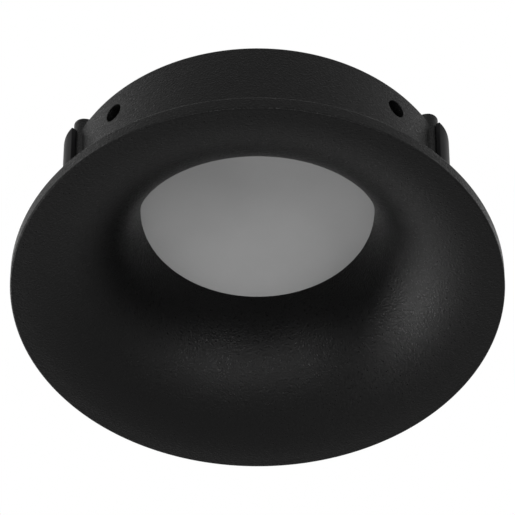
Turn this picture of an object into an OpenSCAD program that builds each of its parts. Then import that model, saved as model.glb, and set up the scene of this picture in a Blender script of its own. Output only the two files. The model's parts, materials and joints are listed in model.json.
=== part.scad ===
// Recessed soffit downlight with a deep trumpet-shaped trim and a flat frosted diffuser.
// Origin: centre of the front plane of the flange. +Z points up into the soffit,
// +X to the right-hand clip, -Y to the near side. All lengths are in millimetres.

/* [Flange and horn] */
// How far the flange stands out past the collar
flange_lip = 9.65; // [9:0.05:14]
// Height of the flange edge
flange_t = 3.3; // [2.5:0.1:4]
// Width of the flat rim between the flange edge and the horn
rim_flat_w = 2.5; // [1:0.1:4]
// Diameter of the throat, where the horn ends
throat_d = 48.2; // [44:0.2:49]
// Height of the throat above the front plane
throat_h = 24.6; // [23:0.1:26]
// Wall of the horn
horn_wall = 2.4; // [1.8:0.1:2.8]
// Break on the edges of the flange
flange_edge_c = 0.4; // [0.1:0.1:0.8]

/* [Collar and side pads] */
// Distance from the throat's edge out to the face of the collar behind the flange
collar_step = 16.25; // [15.9:0.05:18]
// Height of the collar's top above the front plane
collar_h = 29.5; // [28:0.1:32]
// Wall of the collar
collar_wall = 5.35; // [4.8:0.05:5.6]
// How deep the two side flats cut into the collar
flat_depth = 3.15; // [2.5:0.05:3.3]
// Length of each side pad
pad_l = 39; // [38.4:0.1:39.6]
// Corner radius of the side pads
pad_corner_r = 2; // [1:0.1:2.2]
// How far the posts at the pads' ends rise past the collar's top
post_h = 2.9; // [1:0.1:3.2]
// Length of a post along its pad
post_l = 5.4; // [3:0.1:6]
// Break on the top edge of the collar
collar_edge_c = 0.5; // [0.1:0.1:0.8]

/* [Grub screws] */
// Diameter of the four radial holes in the collar
grub_hole_d = 4.1; // [3.5:0.1:4.5]
// Height of the radial holes above the front plane
grub_h = 23.7; // [23:0.1:24]
// Length of a grub screw
grub_l = 4; // [4:0.5:6]

/* [Diffuser] */
// Thickness of the diffuser
diffuser_t = 2.5; // [1.5:0.1:3]
// Width of the ledge under the edge of the diffuser
diffuser_seat_w = 2.1; // [2:0.1:2.2]
// Thickness of the ledge
ledge_t = 2.8; // [2.2:0.1:3.2]
// Width of the clamp ring outside the diffuser
clamp_w = 4.4; // [4.3:0.1:4.6]
// Thickness of the clamp ring's lip over the diffuser
clamp_lip_t = 1.5; // [1:0.1:1.8]

/* [Light source] */
// Radius of the reflector's neck
reflector_neck_r = 9; // [8.6:0.1:9.6]
// Height of the reflector
reflector_h = 6; // [5.8:0.1:7]
// Thickness of the light source's holder
holder_t = 1.5; // [1.4:0.1:2]
// Thickness of the round board
board_t = 1.6; // [1:0.1:2]
// Radius of the round board
board_r = 22.5; // [22:0.5:24]
// Thickness of the thermal pad
thermal_pad_t = 0.3; // [0.2:0.1:0.6]

/* [Heat sink] */
// Wall of the skirt that slides into the collar
skirt_wall = 3; // [2.6:0.1:3.1]
// Height of the skirt's lower edge above the front plane
skirt_low_h = 17; // [16.5:0.1:17.2]
// Thickness of the base plate
base_t = 3.5; // [3:0.1:4.5]
// Number of steps on the circle of fins
fin_count = 24; // [16:1:28]
// Thickness of a fin
fin_t = 1.5; // [1:0.1:2]
// Height of the fins above the base plate
fin_h = 8.5; // [6:0.5:9]
// Outer radius of the hub
hub_r = 14.2; // [13.8:0.1:14.6]
// Wall of the hub
hub_wall = 2.2; // [1.8:0.1:2.4]
// Height of the hub above the base plate
hub_h = 13; // [13:0.5:16]

/* [Driver and terminals] */
// Height of the driver board's seat above the base plate
driver_seat_h = 1.5; // [1.2:0.1:1.6]
// Length of the terminal block
terminal_l = 12; // [11:0.5:14]
// Height of the terminal block
terminal_h = 7.5; // [6:0.5:8]

/* [Cover and cable gland] */
// Thickness of the rear cover
cover_t = 2; // [1.5:0.1:3]
// Thickness of the cover's seal
cover_seal_t = 0.5; // [0.3:0.1:1]
// Diameter of the gland's thread
gland_thread_d = 10; // [9.6:0.1:10.2]
// Diameter of the cable that the rubber insert takes
cable_d = 6; // [5:0.1:6.4]
// Width across flats of the gland
gland_af = 12.5; // [12.2:0.1:13]

/* [Ceiling gasket] */
// Distance from the collar to the soft ring behind the flange
gasket_gap = 3.65; // [3.3:0.05:4.5]
// Width of the soft ring
gasket_w = 3.5; // [2.5:0.1:4]
// Thickness of the soft ring
gasket_t = 1.5; // [1:0.1:3]

/* [Clips] */
// Thickness of the bracket's plate
plate_t = 1; // [0.8:0.05:1.1]
// How far the plate bows out between its middle and its ends
plate_bow = 0.55; // [0.4:0.05:0.8]
// Outer radius of the plate's rolled ends
plate_end_r = 1.7; // [1.5:0.05:2]
// Length of the plate's straight middle, to each side
plate_flat_y = 9; // [8.5:0.1:10]
// Where the plate's rolled ends begin, to each side
plate_end_y = 18; // [17:0.1:18.4]
// Width of the window that the clip arm swings through
window_w = 12.6; // [12.2:0.1:13.2]
// Height of the bar below the window
window_bar_h = 3.2; // [2.5:0.1:3.6]
// Height of the clip's pivot above the front plane
pivot_h = 10.5; // [10.2:0.1:12]
// Diameter of the pivot pin
pin_d = 2; // [1.8:0.1:2.1]
// Width of the clip arm
arm_w = 10.8; // [10.4:0.1:11.2]
// Thickness of the clip arm
arm_t = 1; // [0.8:0.1:1]
// Length of the arm's straight part above the pivot
arm_straight_l = 18; // [17:0.5:20]
// Length of the arm's leaning tip
arm_tip_l = 10.3; // [9:0.1:11]
// Lean of the tip towards the axis, in degrees
arm_lean = 14; // [10:1:16]
// Wall of the rubber sleeve on the tip
sleeve_wall = 0.9; // [0.5:0.1:1]
// Diameter of the spring's wire
wire_d = 0.6; // [0.5:0.05:0.6]
// Number of turns of the spring
spring_turns = 5; // [4:1:5]
// Distance from one turn of the spring to the next
spring_pitch = 1.05; // [1.02:0.01:1.06]

/* [Fits] */
// Gap between a screw and its thread, on the radius
thread_gap = 0.03; // [0.01:0.01:0.08]
// Running gap between the pin and the arm's knuckle, on the radius
running_gap = 0.05; // [0.02:0.01:0.1]
// Gap around pieces that drop into a seat, on the radius
seat_gap = 0.05; // [0.02:0.01:0.1]
// Sliding gap between the heat sink's skirt and the collar, on the radius
skirt_gap = 0.15; // [0.05:0.01:0.2]

/* [Hidden] */
$fn = 96;
cut = 1;              // how far a cutting shape runs past the face that it cuts

// Flange, horn and collar
throat_r = throat_d / 2;
collar_r = throat_r + collar_step;
flange_r = collar_r + flange_lip;
collar_in_r = collar_r - collar_wall;
gasket_in_r = collar_r + gasket_gap;
horn_rim_r = flange_r - rim_flat_w;
horn_a = horn_rim_r - throat_r;
back_a = horn_a - horn_wall;
back_b = throat_h - horn_wall;
horn_steps = 36;
pad_x = collar_r - flat_depth;
pad_y = pad_l / 2;
pad_root = 0.5;       // how deep the pads reach into the flange
post_root = 2;        // how deep the posts reach into the collar
post_setback = 0.35;  // how far the posts stand back from the collar's inner face

// Diffuser, its seal and its clamp
diffuser_r = throat_r + diffuser_seat_w;
clamp_in_r = diffuser_r + 0.2;
clamp_r = clamp_in_r + clamp_w;
clamp_lip_r = throat_r + 0.8;
clamp_top = throat_h + diffuser_t + clamp_lip_t;
seal_in_r = throat_r + 0.8;
seal_w = 1;
seal_t = 0.8;

// Small screws: radius of the shank's hole, radius and height of the head
m25_r = 1.25;
m25_head_r = 2.1;
m25_head_h = 1.4;
m3_r = 1.5;
m3_head_r = 2.6;
m3_head_h = 1.6;
socket_share = 0.5;   // radius of the key socket as a share of the head's radius
clamp_screw_r = (clamp_in_r + clamp_r) / 2;
clamp_screw_angles = [30, 150, 270];
clamp_boss_h = 4.3;
clamp_screw_l = 9.6;

// Light source, from the reflector up
reflector_low_r = clamp_lip_r - 1.6;
reflector_rim_w = 3;
reflector_t = 1;
reflector_top = clamp_top + reflector_h;
holder_in_r = reflector_neck_r - 0.8;
holder_r = reflector_neck_r + 4.5;
array_r = holder_in_r - 0.2;
array_t = 1.2;
phosphor_r = array_r - 2;
phosphor_t = 0.3;
board_low = reflector_top + holder_t;
board_top = board_low + board_t;
base_low = board_top + thermal_pad_t;
base_top = base_low + base_t;
board_screw_x = board_r - 3.5;
board_screw_l = 4.4;
lead_x = 2.5;
lead_y = -7.5;
lead_r = 0.7;

// Heat sink
skirt_r = collar_in_r - skirt_gap;
skirt_in_r = skirt_r - skirt_wall;
cone_rise = 1.047;    // height that the outer cone gains per unit of radius it loses
cone_low = base_low - 3;
base_r = skirt_r - (base_top - cone_low) / cone_rise;
cavity_step = 4;      // chamfer inside the skirt, under the base plate
fin_in_r = hub_r - 0.7;
fin_low_r = base_r - 0.4;
fin_top_r = fin_low_r - fin_h / cone_rise;
hub_in_r = hub_r - hub_wall;
hub_top = base_top + hub_h;
hub_root = 0.5;       // how deep the hub reaches into the base plate
driver_z = base_top + driver_seat_h;
driver_ledge = 1.4;
groove_h = 1.6;
groove_d = 1.3;
groove_low = skirt_low_h + 1.1;
ring_section_r = (groove_d + skirt_gap) / 2 - 0.02;
grub_r = grub_hole_d / 2 - 0.1;
grub_pocket_r = grub_hole_d / 2 + 0.25;
grub_pocket_d = 1.5;
grub_in_r = skirt_r - grub_pocket_d + seat_gap;

// Driver and terminals
driver_r = hub_in_r - 0.2;
driver_top = driver_z + board_t;
terminal_w = 7;
terminal_y = 1.5;
terminal_ways = 3;
terminal_pitch = terminal_l / terminal_ways;
terminal_bore_r = 1.3;
terminal_bore_h = 3.2;
terminal_screw_h = 2.4;
wire_hole_r = 1.2;
wire_hole_h = 2.4;
screw_slot_w = 0.5;
screw_slot_d = 0.6;
cap_x = 6;
cap_r = 2.5;
cap_h = 6;
choke_x = 5.5;
choke_r = 3.2;
choke_h = 4.5;
parts_y = 4.5;
rectifier_l = 5;
rectifier_w = 3.8;
rectifier_h = 2;
rectifier_y = 10.2;

// Cover
lug_r = 2.4;
lug_circle_r = hub_r + 0.8;
lug_angles = [25, 155, 205, 335];
cover_low = hub_top + cover_seal_t;
cover_top = cover_low + cover_t;
cover_screw_l = 9;

// Cable gland, along +Y
gland_clear = 0.1;    // how far the gland's thread stops short of the hub's bore
gland_r = gland_thread_d / 2;
gland_boss_y = hub_r + 1.8;
gland_boss_w = 14.4;
gland_z = base_top + gland_af / 2 + 0.45;
washer_t = 0.8;
washer_w = 1.5;
gland_start_y = hub_in_r + gland_clear;
gland_hex_y = gland_boss_y + washer_t;
gland_hex_l = 4;
gland_nut_y = gland_hex_y + gland_hex_l + 0.8;
gland_barrel_end = gland_hex_y + gland_hex_l + 7;
gland_wall = 0.8;
insert_y = gland_barrel_end - 5.8;
insert_l = 7;
insert_r = gland_r - gland_wall - seat_gap;
gland_bore_r = cable_d / 2 + 0.6;
nut_cup_end = insert_y + insert_l + 0.3;
nut_end = nut_cup_end + 2.2;
nut_face_r = 5.4;
gland_hex_r = gland_af / 2 / cos(30);

// Clips: the right-hand one is drawn, the left-hand one is its mirror image
plate_x = pad_x + seat_gap + plate_end_r + plate_bow;
pivot_x = plate_x + 0.8;
pin_r = pin_d / 2;
knuckle_in_r = pin_r + running_gap;
knuckle_r = knuckle_in_r + arm_t;
ear_t = 1;
ear_r = 2.3;
ear_h = 3;
window_y = window_w / 2;
ear_out_y = window_y + ear_t;
pin_head_r = 1.5;
pin_head_t = 0.7;
head_room = 0.1;      // free space around the pin's heads, in the slots beside the ears
bar_top = flange_t + window_bar_h;
bracket_screw_y = 11;
bracket_screw_z = 14.5;
bracket_screw_l = 5;
boss_r = 3;
coil_room = 0.375;    // free width at each end of the spring, between the arm's knuckles
slot_h = 6.5;
arm_x = pivot_x - knuckle_r + arm_t / 2;
bend_z = pivot_h + arm_straight_l;
slot_w = spring_turns * spring_pitch + wire_d + 2 * coil_room;
knuckle_l = (arm_w - slot_w) / 2;
slot_top = pivot_h + slot_h;
sleeve_start = 5.5;
sleeve_side = 0.9;
sleeve_cap = 0.8;

// Spring: one unbroken wire that comes up from the bar, winds around the pin and ends upright
coil_r = 1.6;
wire_r = wire_d / 2;
coil_y = spring_turns * spring_pitch / 2;
upper_leg_l = 4.1;
upper_leg_z = pivot_h + upper_leg_l;
ring_steps = 12;
wire_sides = 6;

// Angle on the rear ellipse of the horn, at the ledge and at the collar
ledge_angle = asin(ledge_t / back_b);
collar_angle = acos((horn_rim_r - collar_in_r) / back_a);

function horn_point(t) = [horn_rim_r - horn_a * cos(t), throat_h * (1 - sin(t))];
function back_point(t) = [horn_rim_r - back_a * cos(t), throat_h - back_b * sin(t)];

// Outer face of the bowed plate at a distance y from its middle
function bow_x(y) =
    plate_x - plate_bow * pow(max(0, abs(y) - plate_flat_y) / (plate_end_y - plate_flat_y), 2);
boss_h = bow_x(bracket_screw_y + boss_r) - plate_t - pad_x - seat_gap;

module tube(outer_r, inner_r, h) {
    difference() {
        cylinder(r = outer_r, h = h);
        translate([0, 0, -cut]) cylinder(r = inner_r, h = h + 2 * cut);
    }
}

// A screw with its head's seat at z = 0, its head above and its shank below
module screw(shank_r, shank_l, head_r, head_h) {
    difference() {
        union() {
            cylinder(r = head_r, h = head_h);
            translate([0, 0, -shank_l]) cylinder(r = shank_r, h = shank_l + head_h / 2);
        }
        translate([0, 0, head_h / 2]) cylinder(r = head_r * socket_share, h = head_h, $fn = 6);
    }
}

// Lays z along the radius at an angle, at a height
module radial(angle, height) {
    rotate([0, 0, angle]) translate([0, 0, height]) rotate([0, 90, 0]) children();
}

module mirrored() {
    mirror([1, 0, 0]) children();
}

module rounded_rect(w, l, r) {
    square([w, l - 2 * r], center = true);
    square([w - 2 * r, l], center = true);
    for (x = [-1, 1], y = [-1, 1])
        translate([x * (w / 2 - r), y * (l / 2 - r)]) circle(r = r, $fn = 32);
}

// ---------------------------------------------------------------- trim

module trim_profile() {
    polygon(concat(
        [[flange_r - flange_edge_c, 0], [horn_rim_r, 0]],
        [for (i = [horn_steps - 1 : -1 : 0]) horn_point(90 * i / horn_steps)],
        [[clamp_r, throat_h], [clamp_r, throat_h - ledge_t]],
        [for (i = [0 : horn_steps])
            back_point(ledge_angle + (collar_angle - ledge_angle) * i / horn_steps)],
        [[collar_in_r, collar_h],
         [collar_r - collar_edge_c, collar_h], [collar_r, collar_h - collar_edge_c],
         [collar_r, flange_t], [flange_r - flange_edge_c, flange_t],
         [flange_r, flange_t - flange_edge_c], [flange_r, flange_edge_c]]
    ));
}

// Only the corners of the pads stand out of the collar, so they start inside its outer face
module side_pads() {
    translate([0, 0, flange_t - pad_root]) linear_extrude(height = collar_h - flange_t + pad_root)
        difference() {
            rounded_rect(2 * pad_x, 2 * pad_y, pad_corner_r);
            circle(r = collar_r - cut);
        }
}

// Posts that carry the ends of each pad up past the top of the collar
module pad_posts() {
    translate([0, 0, collar_h - post_root]) linear_extrude(height = post_h + post_root)
        difference() {
            rounded_rect(2 * pad_x, 2 * pad_y, pad_corner_r);
            circle(r = collar_in_r + post_setback);
            square([2 * collar_r, 2 * (pad_y - post_l)], center = true);
        }
}

module side_flats() {
    for (side = [-1, 1])
        translate([side * (pad_x + collar_r / 2), 0, flange_t + collar_h / 2])
            cube([collar_r, 2 * pad_y, collar_h], center = true);
}

module bracket_bosses() {
    for (side = [0, 180], y = [-1, 1])
        rotate([0, 0, side]) translate([pad_x - cut, y * bracket_screw_y, bracket_screw_z])
            rotate([0, 90, 0]) cylinder(r = boss_r, h = boss_h + cut, $fn = 48);
}

module bracket_holes() {
    for (side = [0, 180], y = [-1, 1])
        rotate([0, 0, side])
            translate([plate_x - bracket_screw_l, y * bracket_screw_y, bracket_screw_z])
                rotate([0, 90, 0]) cylinder(r = m3_r, h = bracket_screw_l + cut, $fn = 48);
}

module trim_ring() {
    color([0.07, 0.07, 0.07])
    difference() {
        union() {
            difference() {
                union() {
                    rotate_extrude($fn = 180) trim_profile();
                    side_pads();
                    pad_posts();
                }
                side_flats();
            }
            bracket_bosses();
            for (a = clamp_screw_angles)
                rotate([0, 0, a]) translate([clamp_screw_r, 0, throat_h - ledge_t - clamp_boss_h])
                    cylinder(r = m25_r + 1.2, h = clamp_boss_h + ledge_t / 2, $fn = 48);
        }
        translate([0, 0, throat_h - seal_t]) tube(seal_in_r + seal_w, seal_in_r, seal_t + cut);
        for (a = [45 : 90 : 315])
            radial(a, grub_h) translate([0, 0, collar_in_r - cut])
                cylinder(d = grub_hole_d, h = collar_wall + 2 * cut, $fn = 48);
        for (a = clamp_screw_angles)
            rotate([0, 0, a]) translate([clamp_screw_r, 0, clamp_top - clamp_screw_l - cut / 2])
                cylinder(r = m25_r, h = clamp_screw_l, $fn = 48);
        bracket_holes();
    }
}

module ceiling_gasket() {
    color([0.16, 0.16, 0.17])
    translate([0, 0, flange_t]) tube(gasket_in_r + gasket_w, gasket_in_r, gasket_t);
}

module grub_screws() {
    color([0.1, 0.1, 0.11])
    for (a = [45 : 90 : 315])
        radial(a, grub_h) translate([0, 0, grub_in_r])
            difference() {
                cylinder(r = grub_r, h = grub_l, $fn = 48);
                translate([0, 0, grub_l / 2]) cylinder(r = grub_r * 0.55, h = grub_l, $fn = 6);
            }
}

// ---------------------------------------------------------------- diffuser

module diffuser_seal() {
    color([0.1, 0.1, 0.1])
    translate([0, 0, throat_h - seal_t])
        tube(seal_in_r + seal_w - seat_gap, seal_in_r + seat_gap, seal_t);
}

module diffuser() {
    color([0.5, 0.5, 0.5])
    translate([0, 0, throat_h]) cylinder(r = diffuser_r, h = diffuser_t);
}

module diffuser_clamp() {
    color([0.75, 0.75, 0.77])
    translate([0, 0, throat_h])
    difference() {
        cylinder(r = clamp_r, h = diffuser_t + clamp_lip_t);
        translate([0, 0, -cut]) cylinder(r = clamp_lip_r, h = diffuser_t + clamp_lip_t + 2 * cut);
        translate([0, 0, -cut]) cylinder(r = clamp_in_r, h = diffuser_t + cut);
        for (a = clamp_screw_angles)
            rotate([0, 0, a]) translate([clamp_screw_r, 0, -cut])
                cylinder(r = m25_r + 0.1, h = diffuser_t + clamp_lip_t + 2 * cut, $fn = 48);
    }
}

module clamp_screws() {
    color([0.8, 0.8, 0.82])
    for (a = clamp_screw_angles)
        rotate([0, 0, a]) translate([clamp_screw_r, 0, clamp_top])
            screw(m25_r - thread_gap, clamp_screw_l, m25_head_r, m25_head_h, $fn = 48);
}

// ---------------------------------------------------------------- light source

module reflector() {
    color([0.95, 0.95, 0.94])
    rotate_extrude() polygon([
        [reflector_low_r, clamp_top],
        [reflector_low_r + reflector_rim_w, clamp_top],
        [reflector_low_r + reflector_rim_w, clamp_top + reflector_t],
        [reflector_low_r + 0.4, clamp_top + reflector_t],
        [reflector_neck_r + 1.2, reflector_top],
        [reflector_neck_r, reflector_top]
    ]);
}

module led_holder() {
    color([0.93, 0.93, 0.92])
    translate([0, 0, reflector_top]) tube(holder_r, holder_in_r, holder_t);
}

module led_array() {
    color([0.9, 0.75, 0.3])
    translate([0, 0, board_low - array_t]) {
        cylinder(r = array_r, h = array_t);
        translate([0, 0, -phosphor_t]) cylinder(r = phosphor_r, h = phosphor_t * 2);
    }
}

module led_board() {
    color([0.92, 0.93, 0.95])
    translate([0, 0, board_low])
    difference() {
        cylinder(r = board_r, h = board_t);
        for (side = [-1, 1])
            translate([side * board_screw_x, 0, -cut])
                cylinder(r = m3_r + 0.1, h = board_t + 2 * cut, $fn = 48);
    }
}

module thermal_pad() {
    color([0.55, 0.6, 0.65])
    translate([0, 0, board_top])
    difference() {
        cylinder(r = board_r, h = thermal_pad_t);
        for (side = [-1, 1]) {
            translate([side * board_screw_x, 0, -cut])
                cylinder(r = m3_r + 0.1, h = thermal_pad_t + 2 * cut, $fn = 48);
            translate([side * lead_x, lead_y, -cut])
                cylinder(r = lead_r + 0.3, h = thermal_pad_t + 2 * cut, $fn = 32);
        }
    }
}

module board_screws() {
    color([0.8, 0.8, 0.82])
    for (side = [-1, 1])
        translate([side * board_screw_x, 0, board_low]) rotate([180, 0, 0])
            screw(m3_r - thread_gap, board_screw_l, m3_head_r, m3_head_h, $fn = 48);
}

// ---------------------------------------------------------------- heat sink

module sink_profile() {
    polygon([
        [skirt_in_r, skirt_low_h], [skirt_r, skirt_low_h],
        [skirt_r, groove_low], [skirt_r - groove_d, groove_low],
        [skirt_r - groove_d, groove_low + groove_h], [skirt_r, groove_low + groove_h],
        [skirt_r, cone_low], [base_r, base_top], [0, base_top], [0, base_low],
        [skirt_in_r - cavity_step, base_low], [skirt_in_r, base_low - cavity_step]
    ]);
}

// Plan of the hub with its screw lugs, which the cover and its seal share
module hub_outline() {
    circle(r = hub_r);
    for (a = lug_angles) rotate([0, 0, a]) translate([lug_circle_r, 0]) circle(r = lug_r, $fn = 48);
}

module fins() {
    intersection() {
        rotate_extrude() polygon([
            [fin_in_r, base_top - 0.5], [fin_low_r, base_top - 0.5], [fin_low_r, base_top],
            [fin_top_r, base_top + fin_h], [fin_in_r, base_top + fin_h]
        ]);
        union() {
            for (i = [0 : fin_count - 1])
                if (abs(i * 360 / fin_count - 90) > 30)
                    rotate([0, 0, i * 360 / fin_count])
                        translate([fin_in_r - cut, -fin_t / 2, base_top - cut])
                            cube([base_r - fin_in_r + 2 * cut, fin_t, fin_h + 2 * cut]);
        }
    }
}

module heat_sink() {
    color([0.72, 0.73, 0.74])
    difference() {
        union() {
            rotate_extrude() sink_profile();
            fins();
            translate([0, 0, base_top - hub_root]) linear_extrude(height = hub_h + hub_root) {
                hub_outline();
                translate([-gland_boss_w / 2, 0]) square([gland_boss_w, gland_boss_y]);
            }
        }
        translate([0, 0, driver_z]) cylinder(r = hub_in_r, h = hub_h);
        translate([0, 0, base_top]) cylinder(r = hub_in_r - driver_ledge, h = hub_h);
        translate([0, gland_boss_y + cut, gland_z]) rotate([90, 0, 0])
            cylinder(r = gland_r, h = gland_boss_y - hub_in_r + 3 * cut);
        for (a = lug_angles)
            rotate([0, 0, a]) translate([lug_circle_r, 0, cover_top - cover_screw_l - 0.3])
                cylinder(r = m25_r, h = cover_screw_l, $fn = 48);
        for (a = [45 : 90 : 315])
            radial(a, grub_h) translate([0, 0, skirt_r - grub_pocket_d])
                cylinder(r = grub_pocket_r, h = grub_pocket_d + cut, $fn = 48);
        for (side = [-1, 1]) {
            translate([side * board_screw_x, 0, base_low - cut])
                cylinder(r = m3_r, h = board_screw_l - board_t - thermal_pad_t + 0.3 + cut, $fn = 48);
            translate([side * lead_x, lead_y, base_low - cut])
                cylinder(r = lead_r + 0.3, h = base_t + 2 * cut, $fn = 32);
        }
    }
}

module body_seal() {
    color([0.1, 0.1, 0.1])
    rotate_extrude()
        translate([skirt_r - groove_d + ring_section_r + 0.01, groove_low + groove_h / 2])
            circle(r = ring_section_r, $fn = 24);
}

// ---------------------------------------------------------------- driver and terminals

module led_leads() {
    color([0.8, 0.1, 0.1])
    for (side = [-1, 1])
        translate([side * lead_x, lead_y, board_top])
            cylinder(r = lead_r, h = driver_z - board_top, $fn = 32);
}

module driver_board() {
    color([0.1, 0.4, 0.2])
    translate([0, 0, driver_z]) cylinder(r = driver_r, h = board_t);
}

module driver_parts() {
    color([0.2, 0.25, 0.5])
    translate([0, 0, driver_top]) {
        translate([-cap_x, -parts_y, 0]) cylinder(r = cap_r, h = cap_h, $fn = 48);
        translate([choke_x, -parts_y, 0]) cylinder(r = choke_r, h = choke_h, $fn = 48);
        translate([-rectifier_l / 2, -rectifier_y, 0]) cube([rectifier_l, rectifier_w, rectifier_h]);
    }
}

module terminal_block() {
    color([0.9, 0.9, 0.88])
    translate([-terminal_l / 2, terminal_y, driver_top])
    difference() {
        cube([terminal_l, terminal_w, terminal_h]);
        for (i = [0 : terminal_ways - 1])
            translate([(i + 0.5) * terminal_pitch, 0, 0]) {
                translate([0, terminal_w + cut, wire_hole_h]) rotate([90, 0, 0])
                    cylinder(r = wire_hole_r, h = terminal_w / 2 + cut, $fn = 32);
                translate([0, terminal_w / 2, terminal_h - terminal_bore_h])
                    cylinder(r = terminal_bore_r, h = terminal_bore_h + cut, $fn = 32);
            }
    }
}

module terminal_screws() {
    color([0.75, 0.62, 0.3])
    for (i = [0 : terminal_ways - 1])
        translate([-terminal_l / 2 + (i + 0.5) * terminal_pitch,
                   terminal_y + terminal_w / 2, driver_top + terminal_h - terminal_bore_h])
            difference() {
                cylinder(r = terminal_bore_r - seat_gap, h = terminal_screw_h, $fn = 32);
                translate([-terminal_bore_r, -screw_slot_w / 2, terminal_screw_h - screw_slot_d])
                    cube([2 * terminal_bore_r, screw_slot_w, cut]);
            }
}

// ---------------------------------------------------------------- cover and cable gland

module cover_plate(h, hole_r) {
    difference() {
        linear_extrude(height = h) hub_outline();
        for (a = lug_angles)
            rotate([0, 0, a]) translate([lug_circle_r, 0, -cut])
                cylinder(r = hole_r, h = h + 2 * cut, $fn = 48);
    }
}

module cover_seal() {
    color([0.1, 0.1, 0.1])
    translate([0, 0, hub_top])
    difference() {
        cover_plate(cover_seal_t, m25_r + 0.1);
        translate([0, 0, -cut]) cylinder(r = hub_in_r, h = cover_seal_t + 2 * cut);
    }
}

module rear_cover() {
    color([0.7, 0.71, 0.72])
    translate([0, 0, cover_low]) cover_plate(cover_t, m25_r + 0.1);
}

module cover_screws() {
    color([0.8, 0.8, 0.82])
    for (a = lug_angles)
        rotate([0, 0, a]) translate([lug_circle_r, 0, cover_top])
            screw(m25_r - thread_gap, cover_screw_l, m25_head_r, m25_head_h, $fn = 48);
}

// Lays z along +Y on the gland's axis, with z = 0 at a distance y
module along_gland(y) {
    translate([0, y, gland_z]) rotate([-90, 0, 0]) children();
}

module hex_bar(l) {
    cylinder(r = gland_hex_r, h = l, $fn = 6);
}

module gland_washer() {
    color([0.1, 0.1, 0.1])
    along_gland(gland_boss_y) tube(gland_r + washer_w, gland_r + seat_gap, washer_t);
}

module gland_body() {
    color([0.13, 0.13, 0.14])
    difference() {
        union() {
            along_gland(gland_start_y)
                cylinder(r = gland_r - thread_gap, h = gland_barrel_end - gland_start_y);
            along_gland(gland_hex_y) hex_bar(gland_hex_l);
        }
        along_gland(gland_start_y - cut) cylinder(r = gland_bore_r, h = gland_barrel_end);
        along_gland(insert_y) cylinder(r = gland_r - gland_wall, h = insert_l + cut);
    }
}

module gland_insert() {
    color([0.2, 0.2, 0.2])
    along_gland(insert_y) tube(insert_r, cable_d / 2, insert_l);
}

module gland_nut() {
    color([0.13, 0.13, 0.14])
    difference() {
        union() {
            along_gland(gland_nut_y) hex_bar(nut_cup_end - gland_nut_y);
            along_gland(nut_cup_end) rotate_extrude()
                polygon([[0, -cut], [gland_af / 2, -cut], [gland_af / 2, 0],
                         [nut_face_r, nut_end - nut_cup_end], [0, nut_end - nut_cup_end]]);
        }
        along_gland(gland_nut_y - cut)
            cylinder(r = gland_r + thread_gap, h = nut_cup_end - gland_nut_y + cut);
        along_gland(gland_nut_y) cylinder(r = gland_bore_r, h = nut_end);
    }
}

// ---------------------------------------------------------------- clips

bow_steps = 10;
end_steps = 8;

// One half of the plate's outline, from its middle to its end, set in by a thickness
function plate_half(inset) = concat(
    [for (i = [0 : bow_steps])
        let (y = plate_flat_y + (plate_end_y - plate_flat_y) * i / bow_steps)
        [bow_x(y) - inset, y]],
    [for (i = [1 : end_steps])
        let (t = 90 * i / end_steps, r = plate_end_r - inset)
        [pad_x + seat_gap + r * cos(t), plate_end_y + r * sin(t)]]
);
function flipped(points) = [for (i = [len(points) - 1 : -1 : 0]) [points[i][0], -points[i][1]]];
function reversed(points) = [for (i = [len(points) - 1 : -1 : 0]) points[i]];

module bracket() {
    color([0.03, 0.03, 0.03])
    difference() {
        union() {
            difference() {
                translate([0, 0, flange_t]) linear_extrude(height = collar_h - flange_t)
                    polygon(concat(
                        flipped(plate_half(0)), plate_half(0),
                        reversed(plate_half(plate_t)), reversed(flipped(plate_half(plate_t)))
                    ));
                translate([pad_x, -window_y, bar_top]) cube([plate_x, window_w, collar_h]);
            }
            for (side = [-1, 1])
                translate([0, side * (window_y + ear_t / 2), 0]) {
                    translate([plate_x - plate_t, -ear_t / 2, pivot_h - ear_h])
                        cube([pivot_x - plate_x + plate_t, ear_t, 2 * ear_h]);
                    translate([pivot_x, 0, pivot_h]) rotate([90, 0, 0])
                        cylinder(r = ear_r, h = ear_t, center = true, $fn = 48);
                }
        }
        translate([pivot_x, 0, pivot_h]) rotate([90, 0, 0])
            cylinder(r = pin_r, h = 2 * ear_out_y + 2 * cut, center = true, $fn = 48);
        for (side = [-1, 1]) {
            translate([pad_x, side * (ear_out_y + (pin_head_t + head_room) / 2), pivot_h])
                cube([2 * (plate_x - pad_x), pin_head_t + head_room, 2 * (pin_head_r + head_room)],
                     center = true);
            translate([pad_x, side * bracket_screw_y, bracket_screw_z]) rotate([0, 90, 0])
                cylinder(r = m3_r + 0.1, h = 2 * (plate_x - pad_x), $fn = 48);
        }
    }
}

module bracket_screws() {
    color([0.2, 0.2, 0.21])
    for (side = [-1, 1])
        translate([plate_x, side * bracket_screw_y, bracket_screw_z]) rotate([0, 90, 0])
            screw(m3_r - thread_gap, bracket_screw_l - 0.3, m3_head_r, m3_head_h, $fn = 48);
}

module pivot_pin() {
    color([0.75, 0.75, 0.77])
    translate([pivot_x, 0, pivot_h]) rotate([90, 0, 0]) {
        cylinder(r = pin_r, h = 2 * ear_out_y, center = true, $fn = 48);
        for (side = [-1, 1])
            translate([0, 0, side * (ear_out_y + pin_head_t / 2)])
                cylinder(r = pin_head_r, h = pin_head_t, center = true, $fn = 48);
    }
}

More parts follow.
